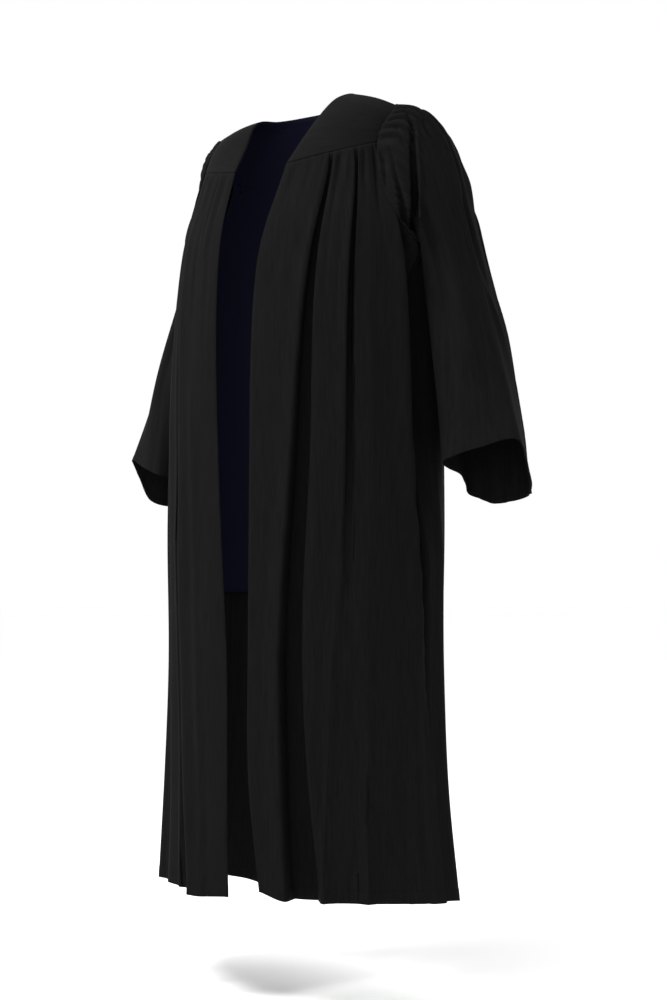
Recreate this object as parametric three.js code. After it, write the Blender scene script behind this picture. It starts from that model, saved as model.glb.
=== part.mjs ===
// A black choir gown that keeps the form of its wearer: yoke, two fronts, back, two bell sleeves, back lining.
// Millimetres, +Z up. The wearer faces -Y and the wearer's left is +X. The origin is midway between the
// neck points, where the shoulders carry the gown.
import * as THREE from "three";

const clothThickness = 2;
const liningThickness = 1.2;
const seamGap = 0.3;
const sleeveSeamGap = 0.8; // the sleeve's wall stands square on its neighbours and needs a little more
const shoulderCorner = 68; // degrees round the torso where the front yoke seam meets the armhole
const backCorner = 110;
const cornerTurn = 62; // degrees round the armhole from the shoulder to either yoke corner
const yokeSteps = 10; // columns from the shoulder to a yoke corner, two to a sleeve gather
const sideSteps = 10; // columns from a yoke corner down to the underarm
const rightShoulderDrop = 4;
const valleyShare = 0.36; // where a pleat is deepest, as a share of its width
const seamRamp = 45; // length over which a fold opens out below the seam it is sewn into
const liningHem = -827;

// Horizontal sections of the body of the gown: half width, depth before and behind the side seams, and
// how far the shape pulls in halfway between front and side.
const torsoSections = [
  { z: -26, half: 188, front: 62, back: 62, pinch: 0 },
  { z: -60, half: 190, front: 95, back: 92, pinch: 0 },
  { z: -95, half: 198, front: 112, back: 108, pinch: 0 },
  { z: -125, half: 205, front: 121, back: 116, pinch: 0 },
  { z: -250, half: 236, front: 158, back: 136, pinch: 0 },
  { z: -450, half: 252, front: 176, back: 164, pinch: 0 },
  { z: -700, half: 259, front: 180, back: 170, pinch: 0.01 },
  { z: -950, half: 258, front: 181, back: 164, pinch: 0.025 },
  { z: -1150, half: 268, front: 185, back: 159, pinch: 0.045 },
  { z: -1360, half: 291, front: 192, back: 158, pinch: 0.075 },
];

// The armhole as a closed line on the torso: turn is counted from the shoulder over the front.
const armholeLine = [
  { turn: 0, angle: 90, z: -26 },
  { turn: 34, angle: 76, z: -58 },
  { turn: cornerTurn, angle: shoulderCorner, z: -95 },
  { turn: 98, angle: 66, z: -155 },
  { turn: 138, angle: 73, z: -222 },
  { turn: 180, angle: 90, z: -262 },
  { turn: 222, angle: 102, z: -222 },
  { turn: 262, angle: 107, z: -158 },
  { turn: 360 - cornerTurn, angle: backCorner, z: -105 },
  { turn: 326, angle: 105, z: -62 },
  { turn: 360, angle: 90, z: -26 },
];

// The neck edge from the left front seam (station 0) over the left neck point (1), round the back (3)
// and over the right neck point (5) to the right front seam (6).
const neckline = [
  { station: 0, x: 54, y: -116, z: -125 },
  { station: 0.45, x: 72, y: -66, z: -51 },
  { station: 0.75, x: 86, y: -32, z: -9 },
  { station: 1, x: 96, y: -3, z: 7 },
  { station: 1.5, x: 88, y: 36, z: 12 },
  { station: 2, x: 66, y: 62, z: 12 },
  { station: 3, x: 0, y: 86, z: 12 },
  { station: 4, x: -66, y: 62, z: 3 },
  { station: 4.5, x: -87, y: 36, z: -4 },
  { station: 5, x: -94, y: -3, z: -11 },
  { station: 5.25, x: -84, y: -34, z: -29 },
  { station: 5.55, x: -70, y: -68, z: -70 },
  { station: 6, x: -54, y: -116, z: -125 },
];

// How far the yoke rounds out between its neck edge and its outer edge, on the left half.
const yokeBulge = [
  { station: 0, out: 6, forward: 13, up: -3 },
  { station: 0.5, out: 3, forward: 17, up: 4 },
  { station: 1, out: 0, forward: 0, up: 4 },
  { station: 1.6, out: 3, forward: -12, up: 4 },
  { station: 3, out: 0, forward: -7, up: 2 },
];

// Heights of the front yoke seam and the back yoke seam, by angle round the torso.
const frontSeamZ = (angle) => -95 - 0.6 * (shoulderCorner - angle);
const backSeamZ = (angle) => -105 - 22 * Math.sin((Math.PI * (angle - backCorner)) / (360 - 2 * backCorner));

// Folds are followed down five levels below the seam they start from.
const levels = [-300, -600, -900, -1120, -1310];

// Every fold starts at a place on the top edge (top, in degrees round the torso, and past a yoke corner
// in degrees down the armhole) and runs through an angle on each level. A pleat has a proud edge, a
// valley beside it and a far side; wide is their whole width. A roll is a soft ridge, or a soft hollow
// where its depth is negative. wide and depth are in mm, first below the seam and then on each level.
const leftFront = {
  edge: { top: 15.1, at: [7, 6.3, 5.8, 6.6, 11.5] },
  corner: { top: shoulderCorner, at: [71, 72, 74, 74, 75] },
  side: { top: 90, at: [90, 90, 90, 90, 90] },
  hem: { angle: [0, 11, 20, 45, 90], z: [-1293, -1297, -1309, -1310, -1313] },
  folds: [
    {
      name: "edge gather", kind: "roll", top: 24, at: [16, 14, 12, 12, 15],
      wide: [5, 8, 12, 12, 12, 14], depth: [-3, -1, 0, 0, 0, 0],
    },
    {
      name: "band pleat", kind: "pleat", top: 37.5, at: [28.2, 22.4, 18, 18.4, 20.1],
      wide: [9, 18, 24, 28, 33, 41], depth: [7, 13, 15, 15, 17, 21],
    },
    {
      name: "short gather", kind: "roll", top: 43.5, at: [37, 34, 30, 30, 34],
      wide: [5, 8, 14, 20, 24, 26], depth: [-3.5, -1.5, 2, 3, 4, 5],
    },
    {
      name: "second pleat", kind: "pleat", top: 51.5, at: [45.5, 43.6, 43.4, 43, 42.5],
      wide: [9, 15, 18, 22, 26, 34], depth: [6, 11, 11, 6, 4, 5],
    },
    {
      name: "third roll", kind: "roll", top: 61, at: [57, 56, 54, 54, 52],
      wide: [5, 12, 20, 24, 22, 20], depth: [-3, 1, 2, 2, 4, 6],
    },
    {
      name: "armhole fold", kind: "pleat", top: 72, at: [73.5, 75, 66, 65, 64],
      wide: [8, 17, 24, 24, 28, 34], depth: [6, 9, 11, 4, 5, 7],
    },
    {
      name: "side roll", kind: "roll", top: 80, at: [82, 79.5, 80, 78, 77],
      wide: [8, 16, 16, 20, 24, 28], depth: [0, 2, 6, 7, 8, 9],
    },
  ],
};
const rightFront = {
  edge: { top: 15.8, at: [13.2, 8.8, 4.3, 2.7, 0.8] },
  corner: { top: shoulderCorner, at: [71, 72, 74, 74, 75] },
  side: { top: 90, at: [90, 90, 90, 90, 90] },
  hem: { angle: [0, 2, 18, 30, 90], z: [-1311, -1311, -1318, -1311, -1313] },
  folds: [
    {
      name: "first gather", kind: "roll", top: 24, at: [21, 16, 12, 10, 8],
      wide: [5, 9, 14, 16, 18, 20], depth: [-3, -2, 0, 0, 0, 0],
    },
    {
      name: "second gather", kind: "roll", top: 33, at: [31, 25, 22, 18, 13.5],
      wide: [5, 9, 14, 16, 16, 16], depth: [-3, -2, 2, 2, 3, 3],
    },
    {
      name: "band pleat", kind: "pleat", top: 43, at: [41, 34.2, 33.4, 27, 19.2],
      wide: [9, 14, 22, 28, 34, 42], depth: [6, 9, 12, 15, 20, 26],
    },
    {
      name: "second pleat", kind: "pleat", top: 53, at: [53, 51, 49, 45, 40],
      wide: [9, 13, 18, 24, 30, 36], depth: [6, 8, 8, 9, 11, 14],
    },
    {
      name: "third roll", kind: "roll", top: 61, at: [62, 62, 62, 59, 56],
      wide: [5, 12, 20, 24, 22, 24], depth: [-3, 2, 4, 5, 7, 10],
    },
    {
      name: "armhole fold", kind: "pleat", top: 72, at: [73.5, 74, 72, 70, 68],
      wide: [8, 16, 20, 24, 28, 34], depth: [6, 8, 5, 5, 7, 10],
    },
    {
      name: "side roll", kind: "roll", top: 80, at: [82, 81, 81, 80, 79],
      wide: [8, 16, 16, 20, 24, 28], depth: [0, 2, 5, 6, 7, 9],
    },
  ],
};
const back = {
  edge: { top: 90, at: [90, 90, 90, 90, 90] },
  corner: { top: backCorner, at: [108, 107, 106, 106, 106] },
  farCorner: { top: 360 - backCorner, at: [252, 253, 254, 254, 254] },
  side: { top: 270, at: [270, 270, 270, 270, 270] },
  hem: { angle: [90, 110, 140, 180, 220, 250, 270], z: [-1313, -1323, -1346, -1356, -1346, -1323, -1313] },
  folds: [
    {
      name: "left side roll", kind: "roll", top: 100, at: [99, 99, 99, 98, 98],
      wide: [8, 14, 18, 22, 26, 30], depth: [0, 2, 6, 8, 10, 11],
    },
    {
      name: "left shoulder pleat", kind: "pleat", top: 119, at: [119, 117, 116, 115, 114],
      wide: [10, 18, 26, 32, 38, 44], depth: [3, 5, 8, 10, 14, 18],
    },
    {
      name: "left gather", kind: "roll", top: 133, at: [132, 131, 130, 130, 130],
      wide: [8, 14, 20, 26, 30, 34], depth: [2, 4, 6, 8, 11, 14],
    },
    {
      name: "left back pleat", kind: "pleat", top: 146, at: [145, 144, 143, 143, 143],
      wide: [10, 18, 26, 32, 38, 46], depth: [3, 5, 8, 10, 15, 20],
    },
    {
      name: "left middle roll", kind: "roll", top: 162, at: [162, 162, 161, 161, 160],
      wide: [8, 14, 20, 26, 30, 32], depth: [2, 4, 5, 8, 10, 13],
    },
    {
      name: "middle pleat", kind: "pleat", top: 176, at: [176, 175, 175, 174, 174],
      wide: [10, 18, 26, 32, 40, 48], depth: [3, 5, 8, 11, 15, 21],
    },
    {
      name: "right middle roll", kind: "roll", top: 194, at: [194, 195, 195, 196, 196],
      wide: [8, 14, 20, 26, 30, 34], depth: [2, 4, 6, 8, 11, 14],
    },
    {
      name: "right back pleat", kind: "pleat", top: 209, at: [210, 210, 210, 210, 211],
      wide: [10, 18, 26, 32, 38, 44], depth: [3, 5, 8, 10, 14, 18],
    },
    {
      name: "right gather", kind: "roll", top: 227, at: [228, 228, 229, 229, 230],
      wide: [8, 14, 20, 26, 30, 34], depth: [2, 4, 6, 8, 10, 13],
    },
    {
      name: "right shoulder pleat", kind: "pleat", top: 239, at: [240, 240, 241, 241, 242],
      wide: [8, 16, 24, 30, 36, 40], depth: [3, 5, 7, 9, 12, 15],
    },
    {
      name: "right side roll", kind: "roll", top: 260, at: [261, 261, 261, 262, 262],
      wide: [8, 14, 18, 22, 26, 28], depth: [0, 2, 6, 8, 9, 10],
    },
  ],
};

// Sections of a sleeve between the armhole and the cuff: the place along the sleeve, 0 to 1, the middle,
// half the width outwards along a line leaning from level, half the depth from front to back, and how far
// the back stands further out than the middle.
const leftSections = [
  { along: 0.06, x: 239, y: 10, z: -151, half: 112, lean: 94, depth: 54, skew: 16 },
  { along: 0.12, x: 257, y: 26, z: -172, half: 97, lean: 83.5, depth: 57, skew: 14 },
  { along: 0.2, x: 265, y: 39, z: -205, half: 82, lean: 78, depth: 60, skew: 10 },
  { along: 0.38, x: 274, y: 58, z: -296, half: 47, lean: 56, depth: 62, skew: 5 },
  { along: 0.68, x: 304, y: 55, z: -445, half: 51, lean: 14, depth: 73, skew: 4 },
];
// The right arm hangs closer, so its sleeve keeps nearer to the body and further back.
const rightSections = [
  { along: 0.06, x: 237, y: 16, z: -156, half: 107, lean: 96, depth: 52, skew: 26 },
  { along: 0.12, x: 248, y: 36, z: -178, half: 93, lean: 89, depth: 52, skew: 34 },
  { along: 0.2, x: 254, y: 50, z: -212, half: 76, lean: 86, depth: 54, skew: 29 },
  { along: 0.38, x: 271, y: 60, z: -296, half: 46, lean: 58, depth: 60, skew: 8 },
  { along: 0.68, x: 304, y: 55, z: -445, half: 51, lean: 14, depth: 73, skew: 4 },
];
// The cuff edge of the left sleeve, shorter in front than behind.
const cuff = [
  { turn: 0, x: 414, y: 34, z: -614 },
  { turn: 14, x: 408, y: 13, z: -588 },
  { turn: 50, x: 362, y: -16, z: -599 },
  { turn: 92, x: 308, y: -36, z: -617 },
  { turn: 130, x: 288, y: 0, z: -625 },
  { turn: 170, x: 283, y: 45, z: -640 },
  { turn: 210, x: 288, y: 92, z: -669 },
  { turn: 245, x: 312, y: 109, z: -683 },
  { turn: 295, x: 370, y: 102, z: -672 },
  { turn: 334, x: 410, y: 62, z: -658 },
  { turn: 360, x: 414, y: 34, z: -614 },
];
const sleeveRows = 17;
const standOut = 5; // the sleeve leaves the armhole square for this length
// Depth of the head gathers over the yoke and beside it, along the sleeve.
const headGathers = {
  along: [0, 0.03, 0.12, 0.25, 0.45, 0.7, 1],
  overYoke: [0, 2.4, 3.6, 2.4, 0.8, 0, 0],
  beside: [0, 1.2, 1.2, 0.5, 0, 0, 0],
};
// Long folds of a sleeve: turn round it, half width in degrees, and depth from the head to the cuff.
const foldPlaces = [0.03, 0.2, 0.38, 0.68, 1];
const sleeveFolds = [
  { name: "outer crease", turn: 14, wide: 26, depth: [0, 0, 2, 4, 3] },
  { name: "outer front roll", turn: 48, wide: 22, depth: [0, 3, 4, 3, 0] },
  { name: "front hollow", turn: 84, wide: 20, depth: [0, -5, -6, -5, -3] },
  { name: "front roll", turn: 122, wide: 24, depth: [2, 5, 4, 2, 2] },
  { name: "inner hollow", turn: 165, wide: 24, depth: [0, 0, -2, -4, -6] },
  { name: "inner roll", turn: 205, wide: 22, depth: [0, 2, 5, 8, 12] },
  { name: "back hollow", turn: 246, wide: 24, depth: [0, -4, -6, -7, -8] },
  { name: "back roll", turn: 288, wide: 24, depth: [0, 4, 6, 6, 7] },
  { name: "outer back hollow", turn: 330, wide: 24, depth: [0, -3, -4, -3, -2] },
];

// The fold that falls from a sleeve's head in front of the arm. Its edge is followed down by height: how
// far out it is along a line that runs 37 degrees back from level, and the width and depth of the valley
// between it and the body.
const fallDirection = 37;
const headFall = {
  z: [-46, -75, -106, -138, -178, -240, -280, -330],
  place: [173, 181.5, 183.7, 186.3, 187.7, 186.3, 193, 200],
  wide: [8, 12, 16, 22, 26, 28, 28, 28],
  depth: [1, 3, 6, 9, 12, 12, 7, 0],
};

const panelRows = 18;
const widestColumn = 34;
const lapAcross = 8; // columns of the yoke from its neck edge to its outer edge
const backSeamSteps = 16;
const liningColumns = 36;
const liningYokeRows = 8;
const liningYokeInside = { across: [0, 0.25, 0.5, 0.75, 1], by: [2.1, 5, 7, 7, 6] };
const liningRows = 6;
// The side edge of the lining below the yoke, and how far the lining hangs inside the back.
const liningEdge = {
  z: [-108, -128, -160, -222, -262, -300, -830],
  angle: [110.2, 110.4, 107.6, 102.6, 92, 91, 91],
};
const liningInside = { z: [-105, -127, -150, -200, -300, -600, -830], by: [6, 6, 8, 10, 12, 15, 17] };

const radians = THREE.MathUtils.degToRad;

// A smooth curve through values at rising keys.
function through(keys, values, at) {
  const last = keys.length - 1;
  if (at <= keys[0]) return values[0];
  if (at >= keys[last]) return values[last];
  let i = 0;
  while (at > keys[i + 1]) i += 1;
  const rate = (a, b) => (values[b] - values[a]) / (keys[b] - keys[a]);
  const slope = (k) => (k === 0 ? rate(0, 1) : k === last ? rate(last - 1, last) : rate(k - 1, k + 1));
  const span = keys[i + 1] - keys[i];
  const t = (at - keys[i]) / span;
  const s = 1 - t;
  return (
    values[i] * s * s * (1 + 2 * t) + slope(i) * span * t * s * s +
    values[i + 1] * t * t * (3 - 2 * t) - slope(i + 1) * span * t * t * s
  );
}

// One named column of a table through its key column.
function column(table, key, name, at) {
  return through(table.map((row) => row[key]), table.map((row) => row[name]), at);
}

function pointOf(table, key, at) {
  const place = (name) => column(table, key, name, at);
  return new THREE.Vector3(place("x"), place("y"), place("z"));
}

// A point on the torso, by angle from the front middle towards the wearer's left.
function torso(angle, z) {
  const depth = -z;
  const keyed = torsoSections.map((row) => -row.z);
  const size = (name) => through(keyed, torsoSections.map((row) => row[name]), depth);
  const turn = radians(angle);
  const pull = 1 - size("pinch") * Math.sin(2 * turn) ** 2;
  const reach = Math.cos(turn) > 0 ? size("front") : size("back");
  return new THREE.Vector3(size("half") * Math.sin(turn) * pull, -reach * Math.cos(turn) * pull, z);
}

function torsoNormal(angle, z) {
  const round = torso(angle + 0.5, z).sub(torso(angle - 0.5, z));
  const down = torso(angle, z - 2).sub(torso(angle, z + 2));
  return down.cross(round).normalize();
}

// The torso's normal at a point that lies on it.
function torsoNormalAt(x, y, z) {
  const across = Math.abs(torso(90, z).x);
  const reach = Math.abs(torso(y < 0 ? 0 : 180, z).y);
  return torsoNormal(THREE.MathUtils.radToDeg(Math.atan2(x / across, -y / reach)), z);
}

const degreeLength = (angle, z) => torso(angle + 0.5, z).distanceTo(torso(angle - 0.5, z));

const smoothStep = (from, to, at) => THREE.MathUtils.smoothstep(at, from, to);

function armholePlace(turn) {
  const round = ((turn % 360) + 360) % 360;
  return { angle: column(armholeLine, "turn", "angle", round), z: column(armholeLine, "turn", "z", round) };
}

// The place on a panel's top edge of a fold or column that starts at top: on the yoke seam, or past a
// yoke corner on the armhole, which the columns share out evenly by its turn.
function topPlace(top) {
  const down = (from, to) => cornerTurn + ((180 - cornerTurn) * (top - from)) / (to - from);
  if (top <= shoulderCorner) return { angle: top, z: frontSeamZ(top) - seamGap };
  if (top <= 90) return armholePlace(down(shoulderCorner, 90));
  if (top < backCorner) return armholePlace(360 - down(backCorner, 90));
  if (top <= 360 - backCorner) return { angle: top, z: backSeamZ(top) - seamGap };
  const place = armholePlace(360 - down(360 - backCorner, 270));
  return { angle: 360 - place.angle, z: place.z };
}

// The angle of a fold line or column at a height.
function lineAngle(line, z) {
  const start = topPlace(line.top);
  const keys = [-start.z, ...levels.map((level) => -level)];
  return through(keys, [start.angle, ...line.at], -z);
}

// A rounded hill of height 1 at its middle that ends on either side at its half width.
const roundHill = (away, half) => 0.5 * (1 + Math.cos((Math.PI * away) / half));

// How far one fold stands out of, or sinks into, a panel at a distance past its line.
function foldHeight(fold, away, z) {
  const keys = [-topPlace(fold.top).z, ...levels.map((level) => -level)];
  const wide = through(keys, fold.wide, -z);
  const depth = through(keys, fold.depth, -z);
  if (Math.abs(away) > wide) return 0;
  if (fold.kind === "roll") return depth * roundHill(away, wide);
  const lip = 0.3 * depth;
  const valley = valleyShare * wide;
  if (away < 0) return lip * smoothStep(-wide, 0, away);
  if (away < valley) return lip - depth * smoothStep(0, valley, away);
  return (lip - depth) * (1 - smoothStep(valley, wide, away));
}

// A point of a panel: on the torso, moved out or in by the folds near it, which die away at every seam.
function panelPoint(panel, angle, z, belowTop) {
  const perDegree = degreeLength(angle, z);
  const toSide = Math.min(Math.abs(angle - 90), Math.abs(270 - angle)) * perDegree;
  let height = 0;
  for (const fold of panel.folds) height += foldHeight(fold, (angle - lineAngle(fold, z)) * perDegree, z);
  height *= smoothStep(0, seamRamp, belowTop) * smoothStep(0, 14, toSide);
  return torso(angle, z).addScaledVector(torsoNormal(angle, z), height);
}

// Column lines of a panel: its edges, its yoke corners and every fold's own lines, with even ones between.
function columnLines(panel) {
  const keyed = [panel.edge, panel.corner, panel.farCorner, panel.side].filter(Boolean);
  const beside = (fold, share) => {
    const start = topPlace(fold.top);
    const shift = (k, z, angle) => (share * fold.wide[k]) / degreeLength(angle, z);
    return {
      top: fold.top + shift(0, start.z, start.angle),
      at: fold.at.map((angle, k) => angle + shift(k + 1, levels[k], angle)),
    };
  };
  const onArmhole = (top) => (top > shoulderCorner && top < backCorner) || top > 360 - backCorner;
  const lines = [...keyed];
  for (const fold of panel.folds) {
    const shares = fold.kind === "pleat" ? [0, valleyShare, 1] : [0];
    const own = shares.map((share) => beside(fold, share));
    lines.push(...own.filter((line) => !onArmhole(line.top)));
  }
  lines.sort((a, b) => a.top - b.top);
  const between = (a, b, share) => ({
    top: a.top + (b.top - a.top) * share,
    at: a.at.map((angle, k) => angle + (b.at[k] - angle) * share),
  });
  const all = [];
  lines.slice(1).forEach((line, k) => {
    const before = lines[k];
    const gap = (line.at[2] - before.at[2]) * degreeLength(line.at[2], levels[2]);
    const evenSteps = Math.max(1, Math.ceil(gap / widestColumn));
    const steps = onArmhole((before.top + line.top) / 2) ? sideSteps : evenSteps;
    for (let step = 0; step < steps; step += 1) all.push(between(before, line, step / steps));
  });
  all.push(lines[lines.length - 1]);
  return all;
}

function hemOf(panel, angle) {
  return through(panel.hem.angle, panel.hem.z, angle);
}

// Middle points of a panel, columns across and rows down. The side seams leave half a gap each.
function panelGrid(panel) {
  const lines = columnLines(panel);
  const places = lines.map((line) => {
    const start = topPlace(line.top);
    const end = hemOf(panel, line.at[levels.length - 1]);
    return Array.from({ length: panelRows + 1 }, (_, row) => {
      const z = start.z + (end - start.z) * (row / panelRows);
      let angle = lineAngle(line, z);
      const half = seamGap / 2 / degreeLength(angle, z);
      if (line === panel.side) angle -= half;
      if (line === back.edge) angle += half;
      return { angle, z, belowTop: start.z - z };
    });
  });
  const points = places.map((line) =>
    line.map(({ angle, z, belowTop }) => panelPoint(panel, angle, z, belowTop)),
  );
  const onSide = (line) => line === panel.side || line === back.edge;
  const normals = gridNormals(points, 1, false).map((line, i) =>
    line.map((normal, row) => {
      const { angle, z } = places[i][row];
      return row === 0 || onSide(lines[i]) ? torsoNormal(angle, z) : normal;
    }),
  );
  return { points, normals };
}

// The outer edge of the yoke by station: armhole, back seam, armhole. Its right half mirrors the left.
function yokeOuter(station) {
  if (station > 3) {
    const mirrored = yokeOuter(6 - station);
    const drop = rightShoulderDrop * smoothStep(-95, -26, mirrored.z);
    return new THREE.Vector3(-mirrored.x, mirrored.y, mirrored.z - drop);
  }
  if (station >= 2) {
    const angle = backCorner + (180 - backCorner) * (station - 2);
    return torso(angle, backSeamZ(angle));
  }
  const place = armholePlace(station < 1 ? cornerTurn * (1 - station) : 360 - cornerTurn * (station - 1));
  return torso(place.angle, place.z);
}

// A point of the yoke at a station and a share of the way from the neck edge to the outer edge.
function yokePoint(station, across) {
  const neck = pointOf(neckline, "station", station);
  const leftStation = Math.min(station, 6 - station);
  const side = station > 3 ? -1 : 1;
  const bulgeAt = (at) => {
    const size = (name) => column(yokeBulge, "station", name, at);
    return new THREE.Vector3(size("out") * side, -size("forward"), size("up"));
  };
  const rise = 4 * across * (1 - across);
  const point = neck.lerp(yokeOuter(station), across).addScaledVector(bulgeAt(leftStation), rise);
  const onSeam = 1 - smoothStep(0, 0.8, leftStation);
  if (onSeam > 0) {
    const edge = side > 0 ? leftFront.edge.top : rightFront.edge.top;
    const angle = edge + (shoulderCorner - edge) * across;
    const seam = torso(angle, frontSeamZ(angle));
    seam.x *= side;
    const end = station > 3 ? 6 : 0;
    const endNeck = pointOf(neckline, "station", end);
    const chord = endNeck.lerp(yokeOuter(end), across).addScaledVector(bulgeAt(0), rise);
    point.addScaledVector(seam.sub(chord), onSeam);
  }
  return point;
}

function yokeStations() {
  const stations = [];
  for (let k = 0; k <= 2 * yokeSteps; k += 1) stations.push(k / yokeSteps);
  for (let k = 1; k < backSeamSteps; k += 1) stations.push(2 + (2 * k) / backSeamSteps);
  for (let k = 0; k <= 2 * yokeSteps; k += 1) stations.push(4 + k / yokeSteps);
  return stations;
}

// Middle points of the yoke. Where it meets the fronts and the back its wall stands square to the torso,
// as theirs does.
function yokeGrid() {
  const stations = yokeStations();
  const points = stations.map((station) =>
    Array.from({ length: lapAcross + 1 }, (_, k) => yokePoint(station, k / lapAcross)),
  );
  const normals = gridNormals(points, 1, false).map((line, i) =>
    line.map((normal, k) => {
      const station = stations[i];
      const onFrontSeam = station === 0 || station === 6;
      const onBackSeam = k === lapAcross && station >= 2 && station <= 4;
      if (!onFrontSeam && !onBackSeam) return normal;
      const { x, y, z } = points[i][k];
      return torsoNormalAt(x, y, z);
    }),
  );
  return { points, normals };
}

// Outward normals of a grid of middle points; facing is +1 or -1 for the order the grid was made in.
function gridNormals(grid, facing, closed) {
  const last = grid.length - 1;
  return grid.map((line, i) =>
    line.map((_, j) => {
      const next = closed ? grid[(i + 1) % grid.length] : grid[Math.min(i + 1, last)];
      const before = closed ? grid[(i + last) % grid.length] : grid[Math.max(i - 1, 0)];
      const across = next[j].clone().sub(before[j]);
      const down = line[Math.min(j + 1, line.length - 1)].clone().sub(line[Math.max(j - 1, 0)]);
      return down.cross(across).multiplyScalar(facing).normalize();
    }),
  );
}

// One closed body: a wall of even thickness about a grid of middle points. A closed grid is a tube.
function wall(grid, normals, thickness, facing, closed = false) {
  const down = grid[0].length;
  const across = grid.length;
  const positions = [];
  for (const side of [0.5, -0.5]) {
    grid.forEach((line, i) =>
      line.forEach((point, j) => {
        const face = point.clone().addScaledVector(normals[i][j], side * thickness);
        positions.push(face.x, face.y, face.z);
      }),
    );
  }
  const inner = across * down;
  const at = (i, j) => (i % across) * down + j;
  const index = [];
  const quad = (a, b, c, d) => (facing > 0 ? index.push(a, b, c, a, c, d) : index.push(a, c, b, a, d, c));
  const lastAcross = closed ? across : across - 1;
  for (let i = 0; i < lastAcross; i += 1) {
    for (let j = 0; j < down - 1; j += 1) {
      quad(at(i, j), at(i, j + 1), at(i + 1, j + 1), at(i + 1, j));
      quad(inner + at(i, j), inner + at(i + 1, j), inner + at(i + 1, j + 1), inner + at(i, j + 1));
    }
    quad(at(i + 1, 0), inner + at(i + 1, 0), inner + at(i, 0), at(i, 0));
    quad(at(i, down - 1), inner + at(i, down - 1), inner + at(i + 1, down - 1), at(i + 1, down - 1));
  }
  if (!closed) {
    for (let j = 0; j < down - 1; j += 1) {
      quad(at(0, j), inner + at(0, j), inner + at(0, j + 1), at(0, j + 1));
      quad(at(across - 1, j + 1), inner + at(across - 1, j + 1), inner + at(across - 1, j), at(across - 1, j));
    }
  }
  const geometry = new THREE.BufferGeometry();
  geometry.setAttribute("position", new THREE.Float32BufferAttribute(positions, 3));
  geometry.setIndex(index);
  geometry.computeVertexNormals();
  return geometry;
}

const mirror = (point) => new THREE.Vector3(-point.x, point.y, point.z);
const mirrorAll = (grid) => grid.map((line) => line.map(mirror));

// Turns round the armhole shared by the sleeve, the yoke, the front and the back.
function armholeTurns() {
  const turns = [];
  const over = (from, to, steps) => {
    for (let k = 0; k < steps; k += 1) turns.push(from + ((to - from) * k) / steps);
  };
  over(0, cornerTurn, yokeSteps);
  over(cornerTurn, 180, sideSteps);
  over(180, 360 - cornerTurn, sideSteps);
  over(360 - cornerTurn, 360, yokeSteps);
  return turns;
}

// The wall a sleeve is sewn to at each armhole turn: edge point, normal of the wall, and the direction
// in the wall that leads into the armhole.
function armholeEdges(turns, yoke, front, backPanel, isRight) {
  const points = [];
  const lastYoke = yoke.points.length - 1;
  const edgeOf = (piece, i, j) => points.push({ at: piece.points[i][j], normal: piece.normals[i][j] });
  turns.forEach((turn, k) => {
    const overYoke = turn <= cornerTurn || turn >= 360 - cornerTurn;
    if (overYoke) {
      const signed = turn > 180 ? turn - 360 : turn;
      const fromFront = Math.round((1 - signed / cornerTurn) * yokeSteps);
      const i = isRight ? lastYoke - fromFront : fromFront;
      edgeOf(yoke, i, lapAcross);
    } else if (turn <= 180) {
      edgeOf(front, front.points.length - 1 - (yokeSteps + sideSteps - k), 0);
    } else {
      const fromSide = k - yokeSteps - sideSteps;
      edgeOf(backPanel, isRight ? backPanel.points.length - 1 - fromSide : fromSide, 0);
    }
  });
  return points.map((edge, k) => {
    const next = points[(k + 1) % points.length].at;
    const before = points[(k + points.length - 1) % points.length].at;
    const along = next.clone().sub(before).normalize();
    const into = along.cross(edge.normal).multiplyScalar(isRight ? -1 : 1).normalize();
    return { ...edge, into };
  });
}

// How far a sleeve starts from the middle of the wall's edge, so that the nearest corners stay a seam
// gap apart whatever the angle between the two walls.
function sleeveStart(edge, outward) {
  const half = clothThickness / 2;
  const across = Math.max(outward.dot(edge.normal), 0.05);
  const ahead = Math.max(outward.dot(edge.into), 0.05);
  const over = (half + sleeveSeamGap - half * ahead) / across;
  const beyond = (sleeveSeamGap + half * across) / ahead;
  return Math.min(over, beyond);
}

const squareRow = 0.015; // place along a sleeve where it leaves the square stand at the armhole

// A point of the left sleeve on its smooth form, before any fold.
function sleeveForm(sections, first, stand, turn, along) {
  const round = radians(turn);
  const points = [first, stand];
  for (const row of sections) {
    const lean = radians(row.lean);
    const out = row.half * Math.cos(round);
    const back = -Math.sin(round);
    const skew = row.skew * back * smoothStep(-0.6, 0, Math.cos(round));
    const x = row.x + out * Math.cos(lean) + skew;
    points.push(new THREE.Vector3(x, row.y + row.depth * back, row.z + out * Math.sin(lean)));
  }
  points.push(pointOf(cuff, "turn", turn));
  const places = [0, squareRow, ...sections.map((row) => row.along), 1];
  const at = (name) => through(places, points.map((point) => point[name]), along);
  return new THREE.Vector3(at("x"), at("y"), at("z"));
}

function sleeveFoldHeight(turn, along, columnIndex) {
  const overYoke = turn <= cornerTurn || turn >= 360 - cornerTurn;
  const strength = overYoke ? headGathers.overYoke : headGathers.beside;
  const besideFade = overYoke ? 1 : smoothStep(180, 120, turn > 180 ? 360 - turn : turn);
  let height = through(headGathers.along, strength, along) * besideFade * (columnIndex % 2 ? 1 : -1);
  for (const fold of sleeveFolds) {
    const away = Math.abs(((turn - fold.turn + 540) % 360) - 180);
    if (away < fold.wide) height += through(foldPlaces, fold.depth, along) * roundHill(away, fold.wide);
  }
  return height * smoothStep(0, 0.05, along);
}

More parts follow.
